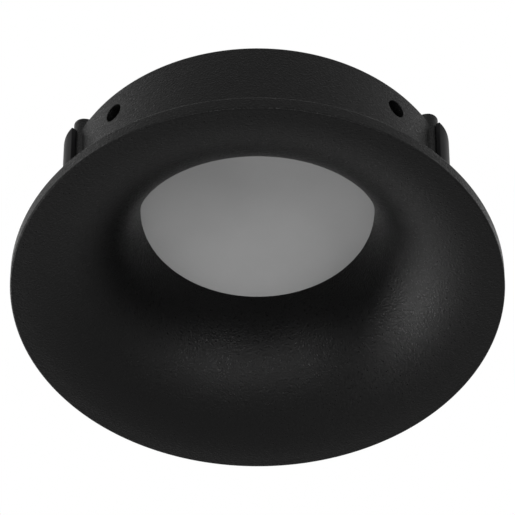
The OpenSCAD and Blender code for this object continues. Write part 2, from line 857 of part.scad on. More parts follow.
// Centre line of the spring's wire: lower leg, turns around the pin, upper leg
coil_x = pivot_x - coil_r;
wire_path = concat(
    [[coil_x, coil_y, bar_top], [coil_x, coil_y, (bar_top + pivot_h) / 2]],
    [for (i = [0 : spring_turns * ring_steps])
        let (t = 360 * i / ring_steps)
        [pivot_x - coil_r * cos(t), coil_y - spring_pitch * i / ring_steps, pivot_h + coil_r * sin(t)]],
    [[coil_x, -coil_y, (upper_leg_z + pivot_h) / 2], [coil_x, -coil_y, upper_leg_z]]
);
wire_rings = len(wire_path);
function unit(v) = v / norm(v);
function wire_dir(i) =
    i == 0 || i == wire_rings - 1 ? [0, 0, 1] : unit(wire_path[i + 1] - wire_path[i - 1]);
function wire_ring(i) =
    let (d = wire_dir(i), side = unit(cross(d, [0, 1, 0])), up = cross(side, d))
    [for (k = [0 : wire_sides - 1])
        wire_path[i] + wire_r * (cos(360 * k / wire_sides) * side + sin(360 * k / wire_sides) * up)];

wire_gap = min([for (i = [0 : wire_rings - 1], j = [0 : wire_rings - 1])
    if (j - i > ring_steps / 2) norm(wire_path[j] - wire_path[i])]) - wire_d;
echo(least_gap_between_turns = wire_gap);

module spring() {
    color([0.7, 0.7, 0.72])
    polyhedron(
        points = [for (i = [0 : wire_rings - 1]) each wire_ring(i)],
        faces = concat(
            [[for (k = [wire_sides - 1 : -1 : 0]) k]],
            [for (i = [0 : wire_rings - 2], k = [0 : wire_sides - 1])
                let (a = i * wire_sides, b = (k + 1) % wire_sides)
                each [[a + k, a + b, a + wire_sides + b], [a + k, a + wire_sides + b, a + wire_sides + k]]],
            [[for (k = [0 : wire_sides - 1]) (wire_rings - 1) * wire_sides + k]]
        )
    );
}

// Frame of the arm's leaning tip: z runs along the strip, x is square to it
module at_tip() {
    translate([arm_x, 0, bend_z]) rotate([0, -arm_lean, 0]) children();
}

module arm() {
    color([0.75, 0.75, 0.77])
    difference() {
        union() {
            difference() {
                union() {
                    translate([arm_x - arm_t / 2, -arm_w / 2, pivot_h])
                        cube([arm_t, arm_w, arm_straight_l]);
                    translate([arm_x, 0, bend_z]) rotate([90, 0, 0])
                        cylinder(r = arm_t / 2, h = arm_w, center = true, $fn = 24);
                    at_tip() translate([-arm_t / 2, -arm_w / 2, 0])
                        cube([arm_t, arm_w, arm_tip_l]);
                }
                translate([arm_x - arm_t, -slot_w / 2, pivot_h - cut])
                    cube([2 * arm_t, slot_w, slot_top - pivot_h + cut]);
            }
            for (side = [-1, 1])
                translate([pivot_x, side * (arm_w - knuckle_l) / 2, pivot_h]) rotate([90, 0, 0])
                    cylinder(r = knuckle_r, h = knuckle_l, center = true, $fn = 48);
        }
        translate([pivot_x, 0, pivot_h]) rotate([90, 0, 0])
            cylinder(r = knuckle_in_r, h = arm_w + 2 * cut, center = true, $fn = 48);
    }
}

module sleeve() {
    color([0.15, 0.15, 0.15])
    at_tip() difference() {
        translate([-arm_t / 2 - sleeve_wall, -arm_w / 2 - sleeve_side, sleeve_start])
            cube([arm_t + 2 * sleeve_wall, arm_w + 2 * sleeve_side,
                  arm_tip_l + sleeve_cap - sleeve_start]);
        translate([-arm_t / 2 - seat_gap, -arm_w / 2 - seat_gap, 0])
            cube([arm_t + 2 * seat_gap, arm_w + 2 * seat_gap, arm_tip_l]);
    }
}

module clip_bracket_right() { bracket(); }
module clip_bracket_left() { mirrored() bracket(); }
module bracket_screws_right() { bracket_screws(); }
module bracket_screws_left() { mirrored() bracket_screws(); }
module pivot_pin_right() { pivot_pin(); }
module pivot_pin_left() { mirrored() pivot_pin(); }
module clip_spring_right() { spring(); }
module clip_spring_left() { mirrored() spring(); }
module clip_arm_right() { arm(); }
module clip_arm_left() { mirrored() arm(); }
module clip_pad_right() { sleeve(); }
module clip_pad_left() { mirrored() sleeve(); }

trim_ring();
ceiling_gasket();
grub_screws();
diffuser_seal();
diffuser();
diffuser_clamp();
clamp_screws();
reflector();
led_holder();
led_array();
led_board();
thermal_pad();
board_screws();
heat_sink();
body_seal();
led_leads();
driver_board();
driver_parts();
terminal_block();
terminal_screws();
cover_seal();
rear_cover();
cover_screws();
gland_washer();
gland_body();
gland_insert();
gland_nut();
clip_bracket_left();
clip_bracket_right();
bracket_screws_left();
bracket_screws_right();
pivot_pin_left();
pivot_pin_right();
clip_spring_left();
clip_spring_right();
clip_arm_left();
clip_arm_right();
clip_pad_left();
clip_pad_right();
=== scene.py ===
"""Recessed soffit downlight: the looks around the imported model.

Run as a script. Lengths in the functions are millimetres, and meshes are made in metres.
"""

import json
import math

import bpy
import numpy as np
from bpy.props import FloatProperty, FloatVectorProperty, IntProperty, PointerProperty
from mathutils import Euler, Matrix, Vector


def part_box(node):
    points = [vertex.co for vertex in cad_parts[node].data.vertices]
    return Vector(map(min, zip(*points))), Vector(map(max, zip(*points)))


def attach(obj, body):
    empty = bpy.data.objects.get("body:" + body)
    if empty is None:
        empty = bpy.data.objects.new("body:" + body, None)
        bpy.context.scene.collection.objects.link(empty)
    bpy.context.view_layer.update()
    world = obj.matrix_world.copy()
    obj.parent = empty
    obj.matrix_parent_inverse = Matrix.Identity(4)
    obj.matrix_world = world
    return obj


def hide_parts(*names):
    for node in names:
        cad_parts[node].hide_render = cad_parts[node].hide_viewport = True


bl_info = {
    "name": "Recessed soffit downlight",
    "version": (1, 0, 0),
    "blender": (4, 5, 0),
    "location": "3D View > Sidebar > Downlight",
    "description": "Builds the finished pieces of a recessed soffit downlight around its packed model",
    "category": "Object",
}

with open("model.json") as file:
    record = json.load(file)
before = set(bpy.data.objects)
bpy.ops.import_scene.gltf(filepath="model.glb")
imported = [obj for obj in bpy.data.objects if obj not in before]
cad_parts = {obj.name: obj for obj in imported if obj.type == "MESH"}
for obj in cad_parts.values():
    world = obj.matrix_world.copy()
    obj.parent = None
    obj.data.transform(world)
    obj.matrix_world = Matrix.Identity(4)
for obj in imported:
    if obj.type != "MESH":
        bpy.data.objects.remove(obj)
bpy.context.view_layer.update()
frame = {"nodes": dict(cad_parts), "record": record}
MM = 0.001
HOLE_ANGLES = (45, 135, 225, 315)  # radial holes of the collar, in degrees
CLAMP_ANGLES = (30, 150, 270)  # pillars for the screws of the clamp ring
LUG_ANGLES = (25, 155, 205, 335)  # screw lugs of the hub
HUB_BORE = 12.0
KNUCKLE_R, ARM_STRAIGHT, CURL_STEPS = 1.55, 18.0, 36  # the clip arm's roll and its straight part
FRAME_PX, FOCAL_PX, AIM_PX = 515, 4500, 36.8  # the frame's width, the focal length and the aim's shift
RECORD_COLOURS = {m["slot"]: tuple(m["base_color"]) for m in frame["record"]["materials"]}


def node_size(node):
    """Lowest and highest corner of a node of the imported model, in millimetres."""
    low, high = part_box(node)
    return np.array(low) / MM, np.array(high) / MM


FLANGE_R = float(node_size("trim_ring")[1][0])
BRACKET_LOW, BRACKET_HIGH = node_size("clip_bracket_right")


# ---- settings


def length(name, text, default, low=0.0, high=200.0):
    """A length in millimetres that the sidebar shows."""
    return FloatProperty(name=name, description=text, default=default, min=low, max=high)


def colour(name, text, default):
    """A linear colour that the sidebar shows."""
    return FloatVectorProperty(name=name, description=text, subtype="COLOR", size=3, min=0, max=1,
                               default=default)


def tilt(name, text, degrees):
    """An angle that the sidebar shows, given in degrees."""
    return FloatProperty(name=name, description=text, subtype="ANGLE", default=math.radians(degrees))


def metres(name, text, default):
    """A distance in metres that the sidebar shows."""
    return FloatProperty(name=name, description=text, subtype="DISTANCE", unit="LENGTH", default=default)


class TrimSizes(bpy.types.PropertyGroup):
    """Sizes of the trim casting, in millimetres."""

    flange_r: length("Flange radius", "Outer radius of the flange", FLANGE_R, 40, 60)
    flange_t: length("Flange edge", "Height of the flange's edge", 3.3, 1, 6)
    rim_w: length("Rim", "Width of the flat rim around the horn", 2.5, 0.5, 6)
    throat_r: length("Throat radius", "Radius of the throat at the diffuser", 24.1, 10, 40)
    throat_h: length("Throat height", "Height of the throat above the front plane", 24.6, 5, 40)
    collar_r: length("Collar radius", "Outer radius of the collar behind the flange", 40.35, 20, 60)
    collar_h: length("Collar height", "Height of the collar's top", 29.5, 5, 60)
    flat_x: length("Flat distance", "Distance of each side flat from the axis", 37.2, 20, 60)
    pad_y: length("Pad half length", "Half the length of each side pad", 19.5, 5, 40)
    post_h: length("Post height", "Height of the tops of the posts at the pads' ends", 32.4, 5, 60)
    hole_r: length("Hole radius", "Radius of the four radial holes", 2.05, 0.5, 5)
    hole_h: length("Hole height", "Height of the four radial holes", 23.7, 2, 40)


class ClipSizes(bpy.types.PropertyGroup):
    """Sizes of the side clips, in millimetres."""

    plate_x: length("Plate distance", "Distance of the bracket's outer face from the axis", 39.5)
    plate_t: length("Plate thickness", "Thickness of the bracket's sheet", 1.0, 0.2, 3)
    roll: length("Roll", "How far the plate's ends curl in towards the pad", 2.1, 0, 4)
    pivot_x: length("Pivot distance", "Distance of the pivot from the axis", 40.3)
    pivot_h: length("Pivot height", "Height of the pivot above the front plane", 10.5)
    arm_w: length("Arm width", "Width of the clip arm", 10.8, 4, 20)
    arm_lean: tilt("Arm lean", "Lean of the arm's tip towards the axis", 14)
    wire_r: length("Wire radius", "Radius of the spring's wire", 0.3, 0.1, 1)
    turns: IntProperty(name="Turns", description="Number of turns of the spring", default=5, min=1, max=12)


class SinkSizes(bpy.types.PropertyGroup):
    """Sizes of the heat sink, its cover and the cable gland, in millimetres."""

    skirt_r: length("Skirt radius", "Outer radius of the skirt inside the collar", 34.85)
    base_r: length("Base radius", "Radius of the base plate at its top", 28.64)
    base_h: length("Base height", "Height of the top of the base plate", 41.5)
    fin_steps: IntProperty(name="Fin steps", description="Number of steps on the circle of fins",
                           default=24, min=8, max=48)
    fin_h: length("Fin height", "Height of the fins above the base plate", 8.5)
    hub_r: length("Hub radius", "Outer radius of the hub", 14.2)
    hub_h: length("Hub top", "Height of the hub's top above the front plane", 54.5)
    gland_h: length("Gland height", "Height of the cable gland's axis", 48.2)
    gland_af: length("Gland width", "Width across the flats of the gland", 12.5)


class Finishes(bpy.types.PropertyGroup):
    """Colours and surface of the finishes."""

    powder_coat: colour("Powder coat", "Textured black coat of the casting", (0.0016, 0.0016, 0.00162))
    gloss_black: colour("Gloss black", "Lacquer of the side plates", (0.005, 0.005, 0.0052))
    frosted_disc: colour("Frosted disc", "Unlit frosted diffuser", (0.218, 0.218, 0.218))
    cast_aluminium: colour("Cast aluminium", "Blasted casting of the heat sink",
                           RECORD_COLOURS["cast_aluminium"])
    spring_steel: colour("Spring steel", "Clip arms, pins and springs", RECORD_COLOURS["spring_steel"])
    coat_grain: length("Coat grain", "Size of the grain in the powder coat, in millimetres", 0.4, 0.05, 2)


class StageSettings(bpy.types.PropertyGroup):
    """Camera, floor and lamps."""

    distance: metres("Camera distance", "Distance of the camera from the front plane's centre", 0.909)
    elevation: tilt("Camera elevation", "How far below the object the camera stands", 46.43)
    azimuth: tilt("Camera azimuth", "Turn of the camera around the object", 1.1)
    field: FloatProperty(name="Focal length in frames", description="Focal length divided by the frame's width",
                         default=FOCAL_PX / FRAME_PX)
    aim_up: tilt("Aim up", "Turn of the camera above the line to the centre",
                 math.degrees(math.atan(AIM_PX / FOCAL_PX)))
    floor_h: metres("Floor", "Height of the floor", -1.7)
    fill: FloatProperty(name="Fill", description="Strength of the even light around the object", default=0.8)
    lamps: FloatProperty(name="Lamps", description="Strength of all the soft lamps together", default=1.0)


# ---- shapes


def unit(v):
    """Vectors along the last axis, scaled to length one."""
    return v / np.linalg.norm(v, axis=-1, keepdims=True)


def arc(x, y, r, start, end, steps):
    """Points of the arc x + r cos a, y + r sin a, with a from start to end in degrees."""
    a = np.radians(np.linspace(start, end, steps + 1))
    return np.column_stack([x + r * np.cos(a), y + r * np.sin(a)])


def polar(r, degrees, z=0.0):
    """Point at a radius and an angle about the axis."""
    a = math.radians(degrees)
    return r * math.cos(a), r * math.sin(a), z


def oblong(x0, x1, y0, y1):
    """Corners of a rectangle, turning from the first axis to the second."""
    return [[x0, y0], [x1, y0], [x1, y1], [x0, y1]]


def softened(corners, radii, steps=4):
    """Closed outline with an arc of its own radius in each corner.

    The arc's centre lies on the bisector, at radius / sin(half angle) from the corner, and its points
    turn evenly from the one tangent point to the other.
    """
    p = np.asarray(corners, float)
    r = np.broadcast_to(np.asarray(radii, float), len(p))
    back, ahead = unit(np.roll(p, 1, 0) - p), unit(np.roll(p, -1, 0) - p)
    half = np.arccos(np.clip((back * ahead).sum(1), -1, 1)) / 2
    centre = p + unit(back + ahead) * (r / np.sin(half))[:, None]
    reach = (r / np.tan(half))[:, None]
    a, b = p + back * reach - centre, p + ahead * reach - centre
    turn = (math.pi - 2 * half)[:, None, None]
    u = np.linspace(0, 1, steps + 1)[None, :, None]
    reached = np.sin((1 - u) * turn) * a[:, None] + np.sin(u * turn) * b[:, None]
    points = (centre[:, None] + reached / np.sin(turn)).reshape(-1, 2)
    return points[np.linalg.norm(points - np.roll(points, 1, 0), axis=1) > 1e-6]


def loft(rings, wrap=False):
    """Shell through rings of points (m, n, 3): four-sided faces between neighbouring rings.

    With wrap the last ring meets the first, otherwise one face closes each end. The faces are turned
    so that the enclosed volume, the sum of a . (b x c) / 6, is positive.
    """
    m, n = rings.shape[:2]
    i, j = np.meshgrid(np.arange(m if wrap else m - 1), np.arange(n), indexing="ij")
    up, on = (i + 1) % m * n, (j + 1) % n
    quads = np.stack([i * n + j, i * n + on, up + on, up + j], -1).reshape(-1, 4)
    points = rings.reshape(-1, 3)
    a, b, c, d = (points[quads[:, k]] for k in range(4))
    volume = (np.cross(b, c) * a).sum() + (np.cross(c, d) * a).sum()
    faces = [quads]
    if not wrap:
        ends = np.arange(n)[None]
        faces += [ends[:, ::-1], ends + (m - 1) * n]
        volume += cap_volume(points, ends[0, ::-1]) + cap_volume(points, ends[0] + (m - 1) * n)
    return points, faces if volume > 0 else [f[:, ::-1] for f in faces]


def cap_volume(points, ring):
    """Six times the signed volume between the origin and a flat face, as a fan about its middle."""
    a, b = points[ring], points[np.roll(ring, -1)]
    return (np.cross(a, b) * points[ring].mean(0)).sum()


def even_angles(n):
    """Angles that divide a full turn into n."""
    return 2 * np.pi * np.arange(n) / n


def hexagon(a):
    """Cosine of the angle folded into a sixth turn: half the width across flats over the radius there."""
    return np.cos(np.mod(a, np.pi / 3) - np.pi / 6)


def rings_at(r, z, a):
    """Points (r cos a, r sin a, z), for arrays or numbers that fit together."""
    return np.stack(np.broadcast_arrays(r * np.cos(a), r * np.sin(a), z), -1)


def lathe(profile, sides=128, wrap=True):
    """Profile (r, z) turned about z: the point is (r cos a, r sin a, z)."""
    return loft(rings_at(profile[:, :1], profile[:, 1:], even_angles(sides)), wrap)


def raised(plan, z):
    """Rings (m, n, 2) with a height for each ring."""
    return np.concatenate([plan, np.broadcast_to(z[:, None, None], plan.shape[:2] + (1,))], -1)


def slab(outline, low, high, edge, steps=3):
    """Outline (n, 2) raised from low to high, with its upper and lower edges rounded.

    A ring at angle a of the rounding is inset by edge (1 - sin a) and stands edge (1 - cos a) from the face.
    """
    ahead = np.roll(outline, -1, 0) - np.roll(outline, 1, 0)
    out = unit(np.column_stack([ahead[:, 1], -ahead[:, 0]]))
    turned = (outline * np.roll(outline[:, ::-1], -1, 0) * [1, -1]).sum()
    out = out if turned > 0 else -out
    a = np.radians(np.linspace(0, 90, steps + 1))
    inset = edge * np.concatenate([1 - np.sin(a), 1 - np.cos(a)])
    z = np.concatenate([low + edge * (1 - np.cos(a)), high - edge * (1 - np.sin(a))])
    return loft(raised(outline[None] - inset[:, None, None] * out[None], z))


def turned_rows(rows, sides=96):
    """Rows (z, half the width across flats, largest radius) about z, wrapped into a closed wall.

    The radius at angle a is the smaller of width / hexagon(a) and the largest radius.
    """
    a = even_angles(sides)
    rows = np.asarray(rows, float)
    r = np.minimum(rows[:, 1:2] / hexagon(a), rows[:, 2:3])
    return loft(rings_at(r, rows[:, :1], a), True)


def tube(path, r, sides=16):
    """Round wire along a path: rings of radius r square to the path's direction, closed with domed ends."""
    along = unit(np.gradient(path, axis=0))
    side = unit(np.cross(along, [0.0, 1.0, 0.0]))
    up = np.cross(side, along)
    dome = np.radians([80, 55, 30])
    lead = r * np.sin(dome)[:, None]
    path = np.concatenate([path[:1] - along[:1] * lead, path, path[-1:] + along[-1:] * lead[::-1]])
    side = np.concatenate([side[:1].repeat(3, 0), side, side[-1:].repeat(3, 0)])
    up = np.concatenate([up[:1].repeat(3, 0), up, up[-1:].repeat(3, 0)])
    size = np.concatenate([r * np.cos(dome), np.full(len(along), r), r * np.cos(dome[::-1])])[:, None, None]
    a = even_angles(sides)[None, :, None]
    return loft(path[:, None] + size * (np.cos(a) * side[:, None] + np.sin(a) * up[:, None]))


def placed(part, turn=(0, 0, 0), at=(0, 0, 0)):
    """The part turned by Euler angles in degrees, x first, then moved."""
    m = np.array(Euler([math.radians(t) for t in turn]).to_matrix())
    return part[0] @ m.T + np.asarray(at, float), part[1]


def mirrored(part, axis=0):
    """The part on the other side of the plane x = 0, or y = 0 for axis 1, with its faces turned round again."""
    return part[0] * np.where(np.arange(3) == axis, -1, 1), [f[:, ::-1] for f in part[1]]


def joined(*parts):
    """Several parts as one, with their faces' numbers moved on."""
    starts = np.cumsum([0] + [len(p[0]) for p in parts[:-1]])
    return np.concatenate([p[0] for p in parts]), [f + s for p, s in zip(parts, starts) for f in p[1]]


def added(name, data):
    """New object with this data, in the scene."""
    obj = bpy.data.objects.new(name, data)
    bpy.context.scene.collection.objects.link(obj)
    return obj


def mesh_object(name, part):
    """Object from a part, shaded."""
    points, faces = part
    mesh = bpy.data.meshes.new(name)
    sizes = np.concatenate([np.full(len(f), f.shape[1]) for f in faces])
    loops = np.concatenate([f.ravel() for f in faces])
    mesh.vertices.add(len(points))
    mesh.vertices.foreach_set("co", (points * MM).ravel())
    mesh.loops.add(len(loops))
    mesh.loops.foreach_set("vertex_index", loops.astype(np.int32))
    mesh.polygons.add(len(sizes))
    mesh.polygons.foreach_set("loop_start", (np.cumsum(sizes) - sizes).astype(np.int32))
    mesh.update(calc_edges=True)
    mesh.validate()
    obj = added(name, mesh)
    shade(obj)
    return obj


def shade(obj, crease=40):
    """Smooth shading, with edges sharper than crease degrees kept sharp.

    The normals lean on the large faces, which stay flat beside round edges.
    """
    obj.data.polygons.foreach_set("use_smooth", [True] * len(obj.data.polygons))
    obj.data.set_sharp_from_angle(angle=math.radians(crease))
    lean = obj.modifiers.new("normals", "WEIGHTED_NORMAL")
    lean.keep_sharp, lean.weight = True, 60


def settle(obj):
    """Puts the result of the object's modifiers, but not of its shading, into its mesh."""
    obj.modifiers.remove(obj.modifiers["normals"])
    result = bpy.data.meshes.new_from_object(obj.evaluated_get(bpy.context.evaluated_depsgraph_get()))
    obj.modifiers.clear()
    obj.data = result
    result.name = obj.name
    shade(obj)


def bent_sheet(name, path, wide, across, keep, thickness, edge):
    """Bent sheet metal: the point at (s, w) is path(s) + w wide, for the cells that keep allows.

    Solidify gives the sheet its thickness to both sides, and Bevel rounds its edges.
    """
    points = (path[:, None] + across[None, :, None] * np.asarray(wide, float)).reshape(-1, 3)
    n = len(across)
    i, j = np.nonzero(keep)
    quads = np.stack([i * n + j, i * n + j + 1, (i + 1) * n + j + 1, (i + 1) * n + j], -1)
    used, quads = np.unique(quads, return_inverse=True)
    obj = mesh_object(name, (points[used], [quads.reshape(-1, 4)]))
    solid = obj.modifiers.new("thickness", "SOLIDIFY")
    solid.thickness, solid.offset, solid.use_even_offset = thickness * MM, 0, True
    bevel = obj.modifiers.new("edges", "BEVEL")
    bevel.width, bevel.segments = edge * MM, 3
    bevel.limit_method, bevel.angle_limit = "ANGLE", math.radians(50)
    settle(obj)
    return obj


def finish(obj, body, slot, *nodes):
    """Gives a piece its body and the finish of its material slot, and hides the nodes that it stands for."""
    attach(obj, body)
    if nodes:
        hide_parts(*nodes)
    obj.data.materials.clear()
    obj.data.materials.append(finish_for(slot))


def piece(name, part, slot, *nodes):
    """Makes a finished object of the fitting from a part."""
    finish(mesh_object(name, part), "fitting", slot, *nodes)


# ---- finishes


class Socket:
    """A value in a node tree, to which sums and products add Math nodes."""

    def __init__(self, tree, socket):
        self.tree, self.socket = tree, socket

    def math(self, operation, *others):
        """Math node with this value first."""
        return self.tree.add("ShaderNodeMath", dict(enumerate([self, *others])), operation=operation)

    def __add__(self, other):
        return self.math("ADD", other)

    def __mul__(self, other):
        return self.math("MULTIPLY", other)

    def within(self, low, high):
        """This value, which runs from 0 to 1, spread from low to high."""
        return self * (high - low) + low


class Tree:
    """Node tree of a material or a world, with one method that adds any node."""

    def __init__(self, owner):
        owner.use_nodes = True
        self.owner, self.nodes, self.links = owner, owner.node_tree.nodes, owner.node_tree.links

    def add(self, kind, sockets=None, out=0, **settings):
        """Adds a node: its settings first, then the values or links of its sockets. Returns one output."""
        node = self.nodes.new(kind)
        for key, value in settings.items():
            setattr(node, key, value)
        for key, value in (sockets or {}).items():
            self.join(value, node.inputs[key])
        return Socket(self, node.outputs[out])

    def join(self, value, target):
        """Links a value to a socket, or writes it there."""
        if isinstance(value, Socket):
            self.links.new(value.socket, target)
        else:
            target.default_value = (*value, 1) if target.type == "RGBA" and len(value) == 3 else value


class Finish(Tree):
    """Procedural material on Object coordinates, in metres."""

    def __init__(self, name):
        material = bpy.data.materials.new(name)
        super().__init__(material)
        self.shader = next(n for n in self.nodes if n.type == "BSDF_PRINCIPLED")
        self.place = self.add("ShaderNodeTexCoord", out="Object")

    def stretched(self, x, y, z):
        """The place scaled by one factor for each axis."""
        return self.add("ShaderNodeMapping", {"Vector": self.place, "Scale": (x, y, z)})

    def noise(self, size, detail=2.0, rough=0.5, place=None):
        """Noise whose lumps are about size millimetres across."""
        return self.add("ShaderNodeTexNoise", {
            "Vector": place or self.place, "Scale": 1 / (size * MM), "Detail": detail,
            "Roughness": rough}, "Fac")

    def cells(self, size):
        """Distance to the nearest of scattered points about size millimetres apart."""
        return self.add("ShaderNodeTexVoronoi", {"Vector": self.place, "Scale": 1 / (size * MM)}, "Distance")

    def colour_mix(self, factor, one, other):
        """Mix node on colours: its colour sockets are found by type, since several share a name."""
        node = self.nodes.new("ShaderNodeMix")
        node.data_type = "RGBA"
        a, b = [s for s in node.inputs if s.type == "RGBA"]
        self.join(factor, node.inputs[0])
        self.join(one, a)
        self.join(other, b)
        return Socket(self, next(s for s in node.outputs if s.type == "RGBA"))

    def tinted(self, base, share, cloud):
        """A colour that runs from (1 - share) to (1 + share) times itself as the cloud runs from 0 to 1."""
        dark, light = [tuple(min(1.0, c * k) for c in base) for k in (1 - share, 1 + share)]
        return self.colour_mix(cloud, dark, light)

    def bump(self, height, depth):
        """Normal bent by a height from 0 to 1 that stands for depth millimetres."""
        return self.add("ShaderNodeBump", {"Height": height, "Distance": depth * MM, "Strength": 1.0})

    def set(self, **sockets):
        """Sets the shader's own sockets. A name's underscores stand for spaces."""
        for key, value in sockets.items():
            self.join(value, self.shader.inputs[key.replace("_", " ")])
        return self.owner


def powder_coat(f, base, grain):
    """Textured coat: small rounded lumps, a slightly cloudy tone, and a gloss of its own for each grain."""
    lumps = f.cells(grain) * 0.7 + f.noise(grain * 0.6, 3.0) * 0.6
    return f.set(Base_Color=f.tinted(base, 0.10, f.noise(9.0, 3.0)), Normal=f.bump(lumps, 0.1),
                 Roughness=f.noise(grain, 0.0).within(0.15, 0.59), Specular_IOR_Level=0.071)


def lacquer(f, base):
    """Black lacquer over pressed steel, with a faint orange peel."""
    return f.set(Base_Color=f.tinted(base, 0.15, f.noise(5.0)), Normal=f.bump(f.noise(1.2, 1.0), 0.008),
                 Roughness=f.noise(2.5).within(0.28, 0.38), Specular_IOR_Level=0.01)


def frosted(f, base):
    """Frosted sheet: a matt face with a very fine, even tooth."""
    return f.set(Base_Color=f.tinted(base, 0.03, f.noise(6.0)), Normal=f.bump(f.noise(0.12, 2.0), 0.004),
                 Roughness=f.noise(0.4).within(0.58, 0.70), Specular_IOR_Level=0.25)


def blasted(f, base):
    """Die casting after bead blasting: fine dimples, cloudy metal and duller patches."""
    dimples = f.cells(0.35) * 0.8 + f.noise(0.9, 3.0) * 0.7
    return f.set(Base_Color=f.tinted(base, 0.12, f.noise(4.0, 4.0)), Normal=f.bump(dimples, 0.030),
                 Roughness=f.noise(3.0, 4.0).within(0.38, 0.62), Metallic=1.0)


def brushed(f, base):
    """Rolled or drawn steel: fine lines that are thin along z, and a little uneven gloss."""
    lines = f.noise(20.0, 4.0, 0.6, f.stretched(6, 6, 120))
    return f.set(Base_Color=f.tinted(base, 0.10, f.noise(5.0, 3.0)), Normal=f.bump(lines, 0.004),
                 Roughness=lines.within(0.20, 0.42), Metallic=1.0)


def plated(f, base):
    """Plated screw or brass: soft patches and a fine grain."""
    return f.set(Base_Color=f.tinted(base, 0.14, f.noise(1.2, 4.0)), Normal=f.bump(f.noise(0.25), 0.004),
                 Roughness=f.noise(0.8, 3.0).within(0.22, 0.42), Metallic=1.0)


def blackened(f, base):
    """Black oxide on steel: a thin dull skin, a little uneven and slightly oily."""
    return f.set(Base_Color=f.tinted(base, 0.20, f.noise(1.0, 4.0)), Normal=f.bump(f.noise(0.2), 0.004),
                 Roughness=f.noise(0.7, 3.0).within(0.32, 0.5), Specular_IOR_Level=0.25)


def turned_metal(f, base):
    """Turned ring: fine grooves about the axis, the sine of 25 times its distance in millimetres."""
    r = f.add("ShaderNodeVectorMath", {0: f.stretched(1, 1, 0)}, "Value", operation="LENGTH")
    grooves = (r * (25 / MM)).math("SINE").within(0.5, 1.0)
    return f.set(Base_Color=f.tinted(base, 0.06, f.noise(3.0)), Normal=f.bump(grooves, 0.006),
                 Roughness=f.noise(2.0).within(0.25, 0.35), Metallic=1.0)


def rubber(f, base):
    """Moulded rubber: matt, with a fine skin and a dusty bloom in patches."""
    return f.set(Base_Color=f.tinted(base, 0.25, f.noise(3.5, 4.0)), Normal=f.bump(f.noise(0.25, 3.0), 0.012),
                 Roughness=f.noise(2.0).within(0.6, 0.78), Specular_IOR_Level=0.3)


def foam(f, base):
    """Closed-cell foam: round pores of two sizes, with painted shade that darkens the colour towards the middle
    of each pit.
    """
    pore_pits_and_shade = f.cells(0.55) + f.cells(0.22) * 0.5
    # The colour darkens where the pores sink in: painted shade in the pits.
    return f.set(Base_Color=f.tinted(base, 0.35, pore_pits_and_shade.math("MINIMUM", 1.0)), Normal=f.bump(pore_pits_and_shade, 0.12),
                 Roughness=0.92, Specular_IOR_Level=0.2)


def moulded(f, base):
    """Moulded plastic: an even spark texture and a slight change of gloss."""
    return f.set(Base_Color=f.tinted(base, 0.05, f.noise(6.0)), Normal=f.bump(f.noise(0.3, 2.0), 0.010),
                 Roughness=f.noise(4.0).within(0.36, 0.50), Specular_IOR_Level=0.4)


RECIPES = {slot: recipe for recipe, slots in (
    (lacquer, "gloss_black"),
    (frosted, "frosted_disc"),
    (foam, "foam_rubber"),
    (rubber, "black_rubber thermal_rubber phosphor"),
    (blackened, "black_steel"),
    (plated, "zinc_steel brass"),
    (brushed, "spring_steel"),
    (turned_metal, "bare_aluminium"),
    (blasted, "cast_aluminium"),
    (moulded, "white_plastic black_nylon white_board green_board component_plastic wire_insulation"),
) for slot in slots.split()}
made_finishes = {}


def finish_for(slot):
    """The finish of a material slot, made once."""
    if slot not in made_finishes:
        colours = bpy.context.scene.downlight_finishes
        base = tuple(getattr(colours, slot, RECORD_COLOURS[slot]))
        f = Finish(slot)
        if slot == "powder_coat":
            made_finishes[slot] = powder_coat(f, base, colours.coat_grain)
        else:
            made_finishes[slot] = RECIPES[slot](f, base)
    return made_finishes[slot]


# ---- trim


def collar_angles(s, steps=360):
    """Angles around the trim: even steps, and the exact places where the side flats meet the collar."""
    meet = math.acos(s.flat_x / s.collar_r)
    exact = np.array([meet, math.pi - meet, math.pi + meet, 2 * math.pi - meet])
    even = even_angles(steps)
    apart = np.abs(even[:, None] - exact[None]).min(1) > math.radians(0.25)
    return np.sort(np.concatenate([even[apart], exact]))


def pad_end(s, start_y=14.0, root=2.8, wide_from=27.5, edge=0.3):
    """One end of a side pad with the post that rises from it, at +x and +y.

    Its plan runs from the flat round a corner and along the domed end, and back on an arc about the axis:
    r = 38 inside the flange and the collar's wall, r = 35.35 in the post. The post's top edge is rounded.
    """
    corner, dome = 2.0, 3.3
    cx, end = s.flat_x - corner, s.pad_y + 0.1
    outer = np.concatenate([[[s.flat_x, start_y], [s.flat_x, end - corner - 0.01]],
                            arc(cx, end - corner, corner, 0, 90, 10),
                            arc(cx, end - dome, dome, 90, 140, 8)[1:]])
    last = math.degrees(math.atan2(outer[-1, 1], outer[-1, 0]))

    def plan(inner_r, inset):
        first = math.degrees(math.asin(start_y / inner_r))
        ring = np.concatenate([outer, arc(0, 0, inner_r, last, first, 8)])
        ahead = unit(np.roll(ring, -1, 0) - ring)
        out = np.column_stack([ahead[:, 1], -ahead[:, 0]])
        out = unit(out + np.roll(out, 1, 0))
        return ring - inset * out

    a = np.radians(np.linspace(0, 90, 5))
    rows = [(root, 38.0, 0.0), (wide_from, 38.0, 0.0), (wide_from + 0.3, 35.35, 0.0)]
    rows += [(s.post_h - edge * (1 - math.sin(t)), 35.35, edge * (1 - math.cos(t))) for t in a]
    return loft(np.stack([np.column_stack([plan(r, inset), np.full(len(outer) + 9, z)])
                          for z, r, inset in rows]))


